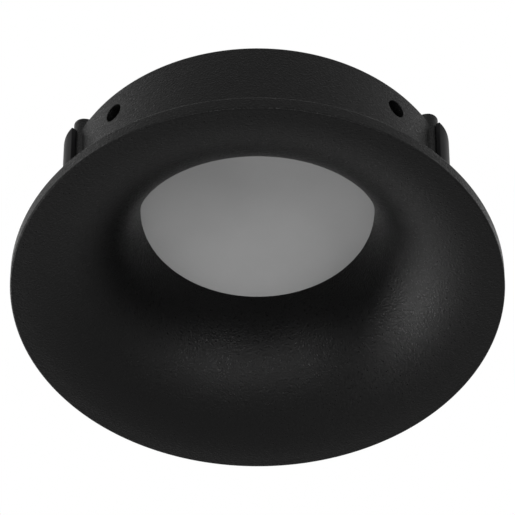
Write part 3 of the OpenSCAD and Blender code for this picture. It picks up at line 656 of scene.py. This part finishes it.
def trim_shell(s):
    """The casting as one grid: a closed profile carried round the axis.

    Horn: r = rim - a cos t, z = h (1 - sin t). Its back is the same curve, a wall further in. On the outside
    of the collar the profile's radius is the collar's plan radius.
    """
    wall, edge, top_edge, inner_edge, root = 2.4, 0.4, 0.5, 0.3, 0.2
    ledge_r, ledge_t, inner_r = 30.8, 2.8, 35.0
    rim = s.flange_r - s.rim_w
    a, h = rim - s.throat_r, s.throat_h
    t = np.radians(np.linspace(90, 0, 97))
    horn = np.column_stack([rim - a * np.cos(t), h * (1 - np.sin(t))])
    back_a, back_h = a - wall, h - wall
    t = np.linspace(math.asin(ledge_t / back_h), math.acos((rim - inner_r) / back_a), 41)
    back = np.column_stack([rim - back_a * np.cos(t), h - back_h * np.sin(t)])
    seal_in, seal_out, seal_low = s.throat_r + 0.8, s.throat_r + 1.8, h - 0.8
    inside = np.concatenate([
        arc(s.flange_r - edge, edge, edge, 0, -90, 4), horn,
        [[seal_in, h], [seal_in, seal_low], [seal_out, seal_low], [seal_out, h], [ledge_r, h],
         [ledge_r, h - ledge_t]],
        back, arc(inner_r + inner_edge, s.collar_h - inner_edge, inner_edge, 180, 90, 3),
    ])
    outside = np.concatenate([
        arc(-top_edge, s.collar_h - top_edge, top_edge, 90, 0, 4),
        arc(root, s.flange_t + root, root, 180, 270, 3),
    ])
    last = arc(s.flange_r - edge, s.flange_t - edge, edge, 90, 0, 4)
    angle = collar_angles(s)
    plan = np.minimum(s.collar_r, s.flat_x / np.maximum(np.abs(np.cos(angle)), 1e-6))
    r = np.concatenate([inside[:, :1] + 0 * plan, outside[:, :1] + plan, last[:, :1] + 0 * plan])
    return loft(rings_at(r, np.concatenate([inside[:, 1:], outside[:, 1:], last[:, 1:]]), angle), True)


def hole_cutter(s, angle):
    """Round bar along the radius at an angle, wider by a small flare where it leaves the collar."""
    flare = 0.1
    rows = np.array([[0.2, 33.0], [s.hole_r, 33.0], [s.hole_r, s.collar_r - flare],
                     [s.hole_r + 2 * flare, s.collar_r + flare], [0.2, s.collar_r + flare]])
    bar = lathe(rows, 64, False)
    return placed(placed(bar, (0, 90, 0)), (0, 0, angle), (0, 0, s.hole_h))


def carve(obj, part, operation):
    """Adds a part to an object, or cuts it out, with an exact Boolean."""
    other = mesh_object("other", part)
    step = obj.modifiers.new("carve", "BOOLEAN")
    step.object, step.operation, step.solver = other, operation, "EXACT"
    settle(obj)
    bpy.data.objects.remove(other)


def at_bracket_screws(part, x, y=11, h=14.5):
    """The part laid along x at both screws of the right side's bracket, with its base at x."""
    return joined(*[placed(part, (0, 90, 0), (x, side_y, h)) for side_y in (-y, y)])


class DOWNLIGHT_OT_trim(bpy.types.Operator):
    """Trim casting: flange, horn, collar, side pads with posts and bosses, and the four radial holes"""

    bl_idname = "downlight.trim"
    bl_label = "Trim casting"

    def execute(self, context):
        s = context.scene.downlight_trim
        end = pad_end(s)
        near = mirrored(end, 1)
        trim = mesh_object("trim_casting", trim_shell(s))
        for part in (end, near, mirrored(end), mirrored(near)):
            carve(trim, part, "UNION")
        carve(trim, joined(*[hole_cutter(s, a) for a in HOLE_ANGLES]), "DIFFERENCE")
        boss = slab(arc(0, 0, 3.0, 0, 360, 48)[:-1], -1.0, 1.045, 0.12)
        side = at_bracket_screws(boss, s.flat_x)
        pillar = slab(arc(0, 0, 2.45, 0, 360, 32)[:-1], 17.5, 22.2, 0.1)
        pillars = [placed(pillar, at=polar(28.6, a)) for a in CLAMP_ANGLES]
        bosses = mesh_object("trim_bosses", joined(side, mirrored(side), *pillars))
        finish(trim, "fitting", "powder_coat", "trim_ring")
        finish(bosses, "fitting", "powder_coat", "trim_ring")
        return {"FINISHED"}


class DOWNLIGHT_OT_gasket(bpy.types.Operator):
    """Soft ring behind the flange"""

    bl_idname = "downlight.gasket"
    bl_label = "Ceiling gasket"

    def execute(self, context):
        low, high = node_size("ceiling_gasket")
        ring = softened(oblong(high[0] - 3.5, high[0], low[2], high[2]), [0.05, 0.05, 0.35, 0.35])
        piece("gasket_ring", lathe(ring, 192), "foam_rubber", "ceiling_gasket")
        return {"FINISHED"}


# ---- screws and pins


def socket_screw(head_r, head_h, shank_r, shank_l, sides=48):
    """Button-headed screw along z with its seat at z = 0 and a six-sided key socket.

    Rows of rings from the socket's floor, up its wall, over the dome and down the shank. A ring in the socket
    has the radius flat / hexagon(a), and the others are round.
    """
    flat, depth = head_r * 0.42, head_h * 0.55
    a = even_angles(sides)
    six = flat / hexagon(a)
    rim = arc(head_r - 0.12, 0.12, 0.12, 0, -90, 3)
    floor = head_h - depth
    rows = [(six * 0.92, floor), (six, floor + 0.06), (six, head_h - 0.08), (six * 1.07, head_h)]
    turn, top_r = np.radians(np.linspace(15, 90, 6)), flat * 1.35
    curve = zip(top_r + (head_r - top_r) * np.sin(turn), head_h * (0.45 + 0.55 * np.cos(turn)))
    rows += [*curve, *rim, (shank_r, 0.0), (shank_r, 0.2 - shank_l), (shank_r - 0.2, -shank_l)]
    return loft(np.stack([rings_at(r, z, a) for r, z in rows]))


def domed_pin(r, end, head_r, head_t, bevel=0.08, dome=0.25):
    """Pin along z from -end to end: a round bar with a domed head at each end."""
    seat = end - head_t
    upper = np.concatenate([
        [[r, seat], [head_r - bevel, seat], [head_r, seat + bevel], [head_r, end - dome]],
        arc(head_r - dome, end - dome, dome, 15, 80, 4), [[head_r * 0.5, end], [0.1, end]]])
    return lathe(np.concatenate([upper[::-1], upper * [1, -1]]), 48, False)


class DOWNLIGHT_OT_screws(bpy.types.Operator):
    """Screws of the side brackets and of the rear cover"""

    bl_idname = "downlight.screws"
    bl_label = "Screws"

    def execute(self, context):
        clips = context.scene.downlight_clips
        m3 = socket_screw(head_r=2.6, head_h=1.6, shank_r=1.47, shank_l=4.7)
        right = at_bracket_screws(m3, clips.plate_x)
        piece("bracket_bolts_right", right, "black_steel", "bracket_screws_right")
        piece("bracket_bolts_left", mirrored(right), "black_steel", "bracket_screws_left")
        m25 = socket_screw(head_r=2.1, head_h=1.4, shank_r=1.22, shank_l=9.0)
        spots = [polar(15.0, a, node_size("rear_cover")[1][2]) for a in LUG_ANGLES]
        cover = joined(*[placed(m25, (0, 0, 17 * k), at) for k, at in enumerate(spots)])
        piece("cover_bolts", cover, "zinc_steel", "cover_screws")
        return {"FINISHED"}


# ---- side clips


def plate_path(c):
    """Middle line of the bowed plate in plan, from one rolled end to the other.

    Outer face: x = plate_x - roll ((|y| - 9) / 10.7)^4.3, so it is straight in its middle and curls towards
    the pad at its ends. The middle line lies half a thickness inside, square to it.
    """
    flat_y, span, power = 9.0, 10.7, 4.3
    y = np.concatenate([[0, 6.3, 7.3, 8.1], flat_y + span * np.linspace(0, 1, 25) ** 0.6])
    u = np.maximum(y - flat_y, 0) / span
    x = c.plate_x - c.roll * u**power
    slope = c.roll * power / span * u ** (power - 1)
    out = unit(np.column_stack([np.ones(len(y)), slope]))
    half = np.column_stack([x, y]) - out * c.plate_t / 2
    line = np.concatenate([half[:0:-1] * [1, -1], half])
    return np.column_stack([line, np.zeros(len(line))])


def bracket_object(c, name, side):
    """Side plate with its window, the slots beside its ears and the two ears that hold the pin."""
    window_y, window_low, slot_y, slot_w, slot_h = 6.3, 6.5, 7.7, 0.4, 1.6
    path = plate_path(c)
    z = np.array([BRACKET_LOW[2], window_low, c.pivot_h - slot_h, c.pivot_h + slot_h, 20.0, BRACKET_HIGH[2]])
    mid_y, mid_z = (path[1:, 1] + path[:-1, 1]) / 2, (z[1:] + z[:-1]) / 2
    window = (np.abs(mid_y)[:, None] < window_y) & (mid_z[None] > window_low)
    slots = ((np.abs(np.abs(mid_y) - slot_y)[:, None] < slot_w)
             & (np.abs(mid_z - c.pivot_h)[None] < slot_h))
    plate = bent_sheet(name, path * [side, 1, 1], (0, 0, 1), z, ~(window | slots), c.plate_t, 0.14)
    shape = softened([[38.7, 7.6], [42.6, 7.9], [42.6, 13.1], [38.7, 13.4]], [0.05, 2.25, 2.25, 0.05], 10)
    ears = joined(*[placed(slab(shape, -0.5, 0.5, 0.12), (90, 0, 0), (0, y, 0)) for y in (-6.8, 6.8)])
    ears = mesh_object(name + "_ears", ears if side > 0 else mirrored(ears))
    return plate, ears


def arm_path(c, tip_l=10.3):
    """Middle line of the arm's strip in the x-z plane: rolled knuckle, straight part, bend and tip."""
    strip_x, bend_z = c.pivot_x - KNUCKLE_R, c.pivot_h + ARM_STRAIGHT
    curl = arc(c.pivot_x, c.pivot_h, KNUCKLE_R, 180 + 300, 180, CURL_STEPS)
    lean, bend_r = c.arm_lean, 3.0
    start = bend_z - bend_r * math.tan(lean / 2)
    turn = np.radians(np.linspace(0, math.degrees(lean), 7))
    bend = np.column_stack([strip_x - bend_r * (1 - np.cos(turn)), start + bend_r * np.sin(turn)])
    tip = bend[-1] + (tip_l - bend_r * math.tan(lean / 2)) * np.array([-math.sin(lean), math.cos(lean)])
    rise = np.column_stack([np.full(3, strip_x), [c.pivot_h + 3.25, c.pivot_h + 6.5, start - 0.2]])
    line = np.concatenate([curl, rise, bend, [tip]])
    return np.column_stack([line[:, 0], np.zeros(len(line)), line[:, 1]])


def arm_object(c, name, side):
    """Clip arm: the strip bent along its path, with a slot between its two knuckles."""
    path = arm_path(c)
    half, slot = c.arm_w / 2, 3.3
    y = np.array([-half, -slot, slot, half])
    lower_part = np.arange(len(path) - 1) < CURL_STEPS + 2
    slotted = lower_part[:, None] & (np.abs((y[1:] + y[:-1]) / 2)[None] < slot)
    return bent_sheet(name, path * [side, 1, 1], (0, 1, 0), y, ~slotted, 0.98, 0.16)


def sleeve_shell(c, start=5.5, end=11.1):
    """Rubber sleeve in the frame of the arm's tip: rounded rectangles, drawn in a little at each groove."""
    w = np.linspace(start, end, 41)
    u = (w - start) / (end - start)
    groove = 0.13 * np.exp(-((np.mod(u * 5, 1) - 0.5) / 0.16) ** 2) * ((u > 0.1) & (u < 0.9))
    cap = 0.45
    near_end = np.clip(1 - (end - w) / cap, 0, 1)
    near_start = np.clip(1 - (w - start) / (cap / 2), 0, 1) * 0.5
    inset = (groove + cap * (1 - np.sqrt(np.maximum(1 - near_end**2, 0)))
             + cap * (1 - np.sqrt(1 - near_start**2)))
    plan = softened(oblong(-1.4, 1.4, -6.3, 6.3), 0.7, 5)
    rings = raised(plan[None] - inset[:, None, None] * unit(np.sign(plan))[None], w)
    at = (c.pivot_x - KNUCKLE_R, 0, c.pivot_h + ARM_STRAIGHT)
    return placed(loft(rings), (0, -math.degrees(c.arm_lean), 0), at)


def spring_wire(c, pitch=1.05, coil_r=1.6):
    """Centre line of the spring: a leg from the bar, turns about the pin and a leg up to the arm.

    Turn by angle t: (pivot_x - coil_r cos t, y0 - pitch t / 360, pivot_h + coil_r sin t).
    """
    t = np.linspace(0, 2 * np.pi * c.turns, 40 * c.turns + 1)
    y0 = c.turns * pitch / 2
    coil = np.column_stack([c.pivot_x - coil_r * np.cos(t), y0 - pitch * t / (2 * np.pi),
                            c.pivot_h + coil_r * np.sin(t)])

    def leg(x, y, low, high):
        return np.column_stack([np.full(6, x), np.full(6, y), np.linspace(low, high, 6)])

    return np.concatenate([leg(coil[0, 0], y0, 6.7, c.pivot_h - 0.2), coil,
                           leg(coil[-1, 0], -y0, c.pivot_h + 0.2, c.pivot_h + 3.9)])


class DOWNLIGHT_OT_clips(bpy.types.Operator):
    """Side plates, hinged clip arms with rubber sleeves, pins and torsion springs"""

    bl_idname = "downlight.clips"
    bl_label = "Side clips"

    def execute(self, context):
        c = context.scene.downlight_clips
        for word, side in (("left", -1), ("right", 1)):
            turned_side = (lambda part: part) if side > 0 else mirrored
            plate, ears = bracket_object(c, f"side_plate_{word}", side)
            finish(plate, "fitting", "gloss_black", f"clip_bracket_{word}")
            finish(ears, "fitting", "gloss_black", f"clip_bracket_{word}")
            pin = domed_pin(r=1.0, end=8.0, head_r=1.5, head_t=0.7)
            pin = turned_side(placed(pin, (90, 0, 0), (c.pivot_x, 0, c.pivot_h)))
            piece(f"pin_{word}", pin, "spring_steel", f"pivot_pin_{word}")
            wire = tube(spring_wire(c), c.wire_r)
            piece(f"spring_{word}", turned_side(wire), "spring_steel", f"clip_spring_{word}")
            arm = arm_object(c, f"arm_{word}", side)
            finish(arm, f"{word}_clip", "spring_steel", f"clip_arm_{word}")
            sleeve = mesh_object(f"sleeve_{word}", turned_side(sleeve_shell(c)))
            finish(sleeve, f"{word}_clip", "black_rubber", f"clip_pad_{word}")
        return {"FINISHED"}


# ---- heat sink, cover and gland


def hub_radius(a, s, boss):
    """Plan radius of the hub at angle a: its circle, four screw lugs and, with boss, the square gland boss.

    A ray meets a lug's circle at q . d + sqrt(r^2 - |q|^2 + (q . d)^2), and the boss at 7.2 / |cos a| or
    16 / sin a, whichever is nearer.
    """
    lug_r, lug_at, boss_x, boss_y = 2.4, s.hub_r + 0.8, 7.2, 16.0
    out = np.full(len(a), s.hub_r)
    turn = np.abs(np.mod(a[:, None] - np.radians(LUG_ANGLES) + np.pi, 2 * np.pi) - np.pi).min(1)
    inside = lug_r**2 - (lug_at * np.sin(turn)) ** 2
    lug = np.where((inside > 0) & (turn < 1), lug_at * np.cos(turn) + np.sqrt(np.maximum(inside, 0)), 0)
    out = np.maximum(out, lug)
    if boss:
        square = np.minimum(boss_x / np.maximum(np.abs(np.cos(a)), 1e-6),
                            boss_y / np.maximum(np.sin(a), 1e-6))
        out = np.maximum(out, np.where(np.sin(a) > 0, square, 0))
    kernel = np.exp(-np.linspace(-2, 2, 9) ** 2)
    ring = np.r_[out[-4:], out, out[:4]]
    return np.convolve(ring, kernel / kernel.sum(), "valid")


def hub_wall(s, low, high, boss, edge, steps=720):
    """Wall between the hub's plan radius and a bore, with a rounded upper edge."""
    a = even_angles(steps)
    plan = hub_radius(a, s, boss)
    rim = arc(-edge, high - edge, edge, 0, 90, 4)
    bore = np.array([[HUB_BORE + 0.2], [HUB_BORE], [HUB_BORE]]) + 0 * plan
    r = np.concatenate([[plan], rim[:, :1] + plan, bore])
    z = np.r_[low, rim[:, 1], high, high - 0.2, low][:, None]
    return loft(rings_at(r, z, a), True)


def fin(s):
    """One fin along +x: at height z a slot-shaped ring with a round nose.

    Half thickness h = 0.75 - 0.13 u + 0.6 (1 - v)^2, with u the share of the height and v the height in
    units of the root's fillet. The nose follows the cone, and the top edge is rounded.
    """
    edge, root, sunk, start, cone = 0.45, 1.1, 0.3, 13.2, 1.047
    v = np.linspace(0, root, 6)
    top = s.fin_h - edge * (1 - np.sin(np.radians([25, 50, 70, 90])))
    z = np.r_[-sunk, v, np.linspace(root + 0.6, s.fin_h - edge, 6), top]
    h = 0.75 - 0.13 * z / s.fin_h + 0.6 * np.clip(1 - z / root, 0, 1) ** 2
    over = np.clip((z - (s.fin_h - edge)) / edge, 0, 1)
    inset = edge * (1 - np.sqrt(1 - over**2)) * 0.95
    h, nose = (h - inset)[:, None], (s.base_r - 0.45 - z / cone - inset)[:, None]
    a = np.radians(np.linspace(-90, 90, 13))[None]
    inner = np.full((len(z), 1), start)
    x = np.concatenate([inner, nose - h + h * np.cos(a), inner], 1)
    y = np.concatenate([-h, h * np.sin(a), h], 1)
    return loft(np.stack([x, y, (s.base_h + z)[:, None] + 0 * x], -1))


def sink_body(s):
    """Skirt, cone and base plate turned about the axis, with the groove of the ring seal."""
    bore, low, face, groove_r, groove_low, groove_high = 31.85, 17.0, 38.0, s.skirt_r - 1.3, 18.1, 19.7
    profile = softened([
        [1.0, face], [bore - 4.0, face], [bore, face - 4.0], [bore, low], [s.skirt_r, low],
        [s.skirt_r, groove_low], [groove_r, groove_low], [groove_r, groove_high], [s.skirt_r, groove_high],
        [s.skirt_r, 35.0], [s.base_r, s.base_h], [1.0, s.base_h]],
        [0, 0.5, 0.5, 0.2, 0.3, 0.1, 0.05, 0.05, 0.1, 1.2, 0.9, 0], 5)
    return lathe(profile, 192)


class DOWNLIGHT_OT_heat_sink(bpy.types.Operator):
    """Finned die casting that slides into the collar"""

    bl_idname = "downlight.heat_sink"
    bl_label = "Heat sink"

    def execute(self, context):
        s = context.scene.downlight_sink
        angles = 360 / s.fin_steps * np.arange(s.fin_steps)
        fins = [placed(fin(s), (0, 0, a)) for a in angles[np.abs(angles - 90) > 30.01]]
        hub = hub_wall(s, s.base_h - 0.5, s.hub_h, True, 0.25)
        piece("finned_casting", joined(sink_body(s), hub, *fins), "cast_aluminium", "heat_sink")
        return {"FINISHED"}


def cover_shell(s, low, high, steps=720):
    """Cover: the hub's plan without the boss, a rounded edge, and a shallow ring groove in its top."""
    a = even_angles(steps)
    plan = hub_radius(a, s, False)
    rim = arc(-0.5, high - 0.5, 0.5, 0, 90, 5)
    groove = np.array([[11.6, high], [11.4, high - 0.25], [10.9, high - 0.25], [10.7, high], [1.0, high]])
    r = np.concatenate([[1.0 + 0 * plan, plan - 0.15, plan], rim[:, :1] + plan, groove[:, :1] + 0 * plan])
    return loft(rings_at(r, np.r_[low, low, low + 0.15, rim[:, 1], groove[:, 1]][:, None], a))


class DOWNLIGHT_OT_cover(bpy.types.Operator):
    """Rear cover and the seal under it"""

    bl_idname = "downlight.cover"
    bl_label = "Rear cover"

    def execute(self, context):
        s = context.scene.downlight_sink
        low, high = node_size("rear_cover")
        piece("cover_plate", cover_shell(s, low[2], high[2]), "cast_aluminium", "rear_cover")
        low, high = node_size("cover_seal")
        seal = hub_wall(s, low[2], high[2], False, 0.08)
        piece("cover_gasket", seal, "black_rubber", "cover_seal")
        return {"FINISHED"}


def round_rows(*rows):
    """Rows (z, radius) as rows for turned_rows, with flats too far out to show."""
    return [(z, 99.0, r) for z, r in rows]


def on_gland(s, part):
    """Lays a part that was made along z on the gland's axis, with z measured from the light's axis."""
    return placed(part, (-90, 0, 0), (0, 0, s.gland_h))


class DOWNLIGHT_OT_gland(bpy.types.Operator):
    """Cable gland: threaded body, rubber insert and dome nut"""

    bl_idname = "downlight.gland"
    bl_label = "Cable gland"

    def execute(self, context):
        s = context.scene.downlight_sink
        flat = s.gland_af / 2
        corner = flat / math.cos(math.radians(30))
        start, hex_low, hex_high, end = 12.1, 16.8, 20.8, 27.8
        bore, seat, pitch = 3.6, 22.0, 1.25
        p = np.arange(hex_high + 0.15, end - 0.3, 0.2)
        thread = zip(p, 4.72 + 0.22 * np.cos(2 * np.pi * p / pitch))
        body = [
            *round_rows((start, bore), (start, 4.7), (start + 0.3, 4.95), (hex_low, 4.95)),
            (hex_low, flat - 0.08, corner - 0.75), (hex_low + 0.4, flat, corner - 0.1),
            (hex_high - 0.45, flat, corner - 0.1), (hex_high, flat - 0.08, corner - 0.85),
            *round_rows((hex_high, 5.0), *thread, (end - 0.2, 4.8), (end, 4.6), (end, 4.25), (seat, 4.2),
                        (seat, bore))]
        piece("gland_stem", on_gland(s, turned_rows(body)), "black_nylon", "gland_body")
        low, high = 21.6, 31.5
        nut = [
            *round_rows((low, 5.1)), (low, flat - 0.1, corner - 0.9), (low + 0.5, flat, corner - 0.12),
            (28.6, flat, corner - 0.12), (29.25, flat - 0.05, corner - 0.75),
            *round_rows(*arc(high - 2.2, 4.1, 2.15, 90, 12, 8), (high, 4.35), (high, 3.8), (31.3, bore),
                        (29.4, bore), (29.3, 5.03))]
        piece("gland_cap", on_gland(s, turned_rows(nut)), "black_nylon", "gland_nut")
        insert = softened(oblong(3.0, 4.12, seat, 29.0), [0.1, 0.1, 0.15, 0.5])
        piece("gland_rubber", on_gland(s, lathe(insert, 64)), "black_rubber", "gland_insert")
        return {"FINISHED"}


class DOWNLIGHT_OT_inner_parts(bpy.types.Operator):
    """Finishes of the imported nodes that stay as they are"""

    bl_idname = "downlight.inner_parts"
    bl_label = "Inner parts"

    def execute(self, context):
        for row in frame["record"]["subparts"]:
            node = frame["nodes"][row["node"]]
            if not node.hide_render:
                for held in node.material_slots:
                    held.material = finish_for(row["material_slot"])
        return {"FINISHED"}


# ---- stage


LAMPS = (
    # name, azimuth and elevation in degrees, size in metres, power in watts
    ("sweep", -120, -21, 0.6, 19.5),
    ("behind", -150, -12, 0.9, 3.7),
    ("front", -28, -25, 0.5, 14.5),
    ("low_right", 26, -27, 0.45, 15),
    ("low_left", 62, -34, 0.6, 4.5),
    ("back", 175, -34, 0.9, 0.3),
    ("left", -90, 42, 0.9, 1.6),
)


def direction(azimuth, elevation):
    """Unit vector out to an azimuth, from -Y towards +X, and an elevation, both in radians."""
    level = math.cos(elevation)
    return Vector((math.sin(azimuth) * level, -math.cos(azimuth) * level, math.sin(elevation)))


def faced(obj, back):
    """Turns a lamp or a camera so that its back points along a vector."""
    obj.rotation_mode = "QUATERNION"
    obj.rotation_quaternion = back.to_track_quat("Z", "Y")


def area_lamp(name, azimuth, elevation, size, power, distance=1.5):
    """Soft square lamp that looks at the object from an azimuth and an elevation in degrees."""
    lamp = bpy.data.lights.new(name, "AREA")
    lamp.shape, lamp.size, lamp.energy = "SQUARE", size, power
    obj = added(name, lamp)
    back = direction(math.radians(azimuth), math.radians(elevation))
    obj.location = back * distance
    faced(obj, back)


def seen_rays(tree):
    """1 for rays from the camera, a gloss or glass, and 0 for the rest."""
    kinds = ("Camera", "Glossy", "Transmission")
    camera, gloss, glass = [tree.add("ShaderNodeLightPath", out=f"Is {kind} Ray") for kind in kinds]
    return camera.math("MAXIMUM", gloss).math("MAXIMUM", glass)


def pale_floor(height, half=6000.0, glow=0.2):
    """Square floor at a height in millimetres, which glows a little for the camera and in reflections."""
    corners = np.array([(x, y, height) for x, y in oblong(-half, half, -half, half)])
    floor = mesh_object("floor", (corners, [np.array([[0, 1, 2, 3]])]))
    pale = Finish("pale_floor")
    cloud = pale.noise(900.0, 3.0)
    pale.set(Base_Color=pale.colour_mix(cloud, (0.86, 0.86, 0.86), (0.9, 0.9, 0.9)), Roughness=0.8,
             Emission_Color=pale.colour_mix(seen_rays(pale), (0, 0, 0), (glow,) * 3), Emission_Strength=1.0)
    floor.data.materials.append(pale.owner)


def surround(scene, fill):
    """White where the camera, a gloss or glass looks at it, and an even fill for everything else."""
    scene.world = bpy.data.worlds.new("surround")
    tree = Tree(scene.world)
    background = next(n for n in tree.nodes if n.type == "BACKGROUND")
    background.inputs["Color"].default_value = (1, 1, 1, 1)
    tree.join(seen_rays(tree).within(fill, 1.0), background.inputs["Strength"])


class DOWNLIGHT_OT_stage(bpy.types.Operator):
    """Camera, pale floor, soft lamps and the white surround"""

    bl_idname = "downlight.stage"
    bl_label = "Stage"

    def execute(self, context):
        s, scene = context.scene.downlight_stage, context.scene
        camera = added("camera", bpy.data.cameras.new("camera"))
        scene.camera = camera
        camera.data.sensor_width = 36
        camera.data.lens = s.field * camera.data.sensor_width
        camera.data.clip_start, camera.data.clip_end = 0.01, 50
        camera.location = direction(s.azimuth, -s.elevation) * s.distance
        faced(camera, direction(s.azimuth, -s.elevation - s.aim_up))
        for name, azimuth, elevation, size, power in LAMPS:
            area_lamp(name, azimuth, elevation, size, power * s.lamps)
        pale_floor(s.floor_h / MM)
        surround(scene, s.fill)
        scene.view_settings.view_transform = "Standard"
        return {"FINISHED"}


class DOWNLIGHT_PT_sidebar(bpy.types.Panel):
    """Lists the settings and the steps that build the downlight"""

    bl_label = "Downlight"
    bl_idname = "DOWNLIGHT_PT_sidebar"
    bl_space_type = "VIEW_3D"
    bl_region_type = "UI"
    bl_category = "Downlight"

    def draw(self, context):
        for group in SETTINGS:
            box = self.layout.box()
            owner = getattr(context.scene, group)
            for key in owner.__annotations__:
                box.prop(owner, key)
        for step in STEPS:
            self.layout.operator(step.bl_idname)


SETTINGS = {
    "downlight_trim": TrimSizes,
    "downlight_clips": ClipSizes,
    "downlight_sink": SinkSizes,
    "downlight_finishes": Finishes,
    "downlight_stage": StageSettings,
}
STEPS = (
    DOWNLIGHT_OT_stage,
    DOWNLIGHT_OT_trim,
    DOWNLIGHT_OT_gasket,
    DOWNLIGHT_OT_clips,
    DOWNLIGHT_OT_screws,
    DOWNLIGHT_OT_heat_sink,
    DOWNLIGHT_OT_cover,
    DOWNLIGHT_OT_gland,
    DOWNLIGHT_OT_inner_parts,
)
CLASSES = (*SETTINGS.values(), *STEPS, DOWNLIGHT_PT_sidebar)


def register():
    for cls in CLASSES:
        bpy.utils.register_class(cls)
    for name, group in SETTINGS.items():
        setattr(bpy.types.Scene, name, PointerProperty(type=group))


def unregister():
    for name in SETTINGS:
        delattr(bpy.types.Scene, name)
    for cls in reversed(CLASSES):
        bpy.utils.unregister_class(cls)


def main():
    register()
    for step in STEPS:
        family, name = step.bl_idname.split(".")
        getattr(getattr(bpy.ops, family), name)()


if __name__ == "__main__":
    main()
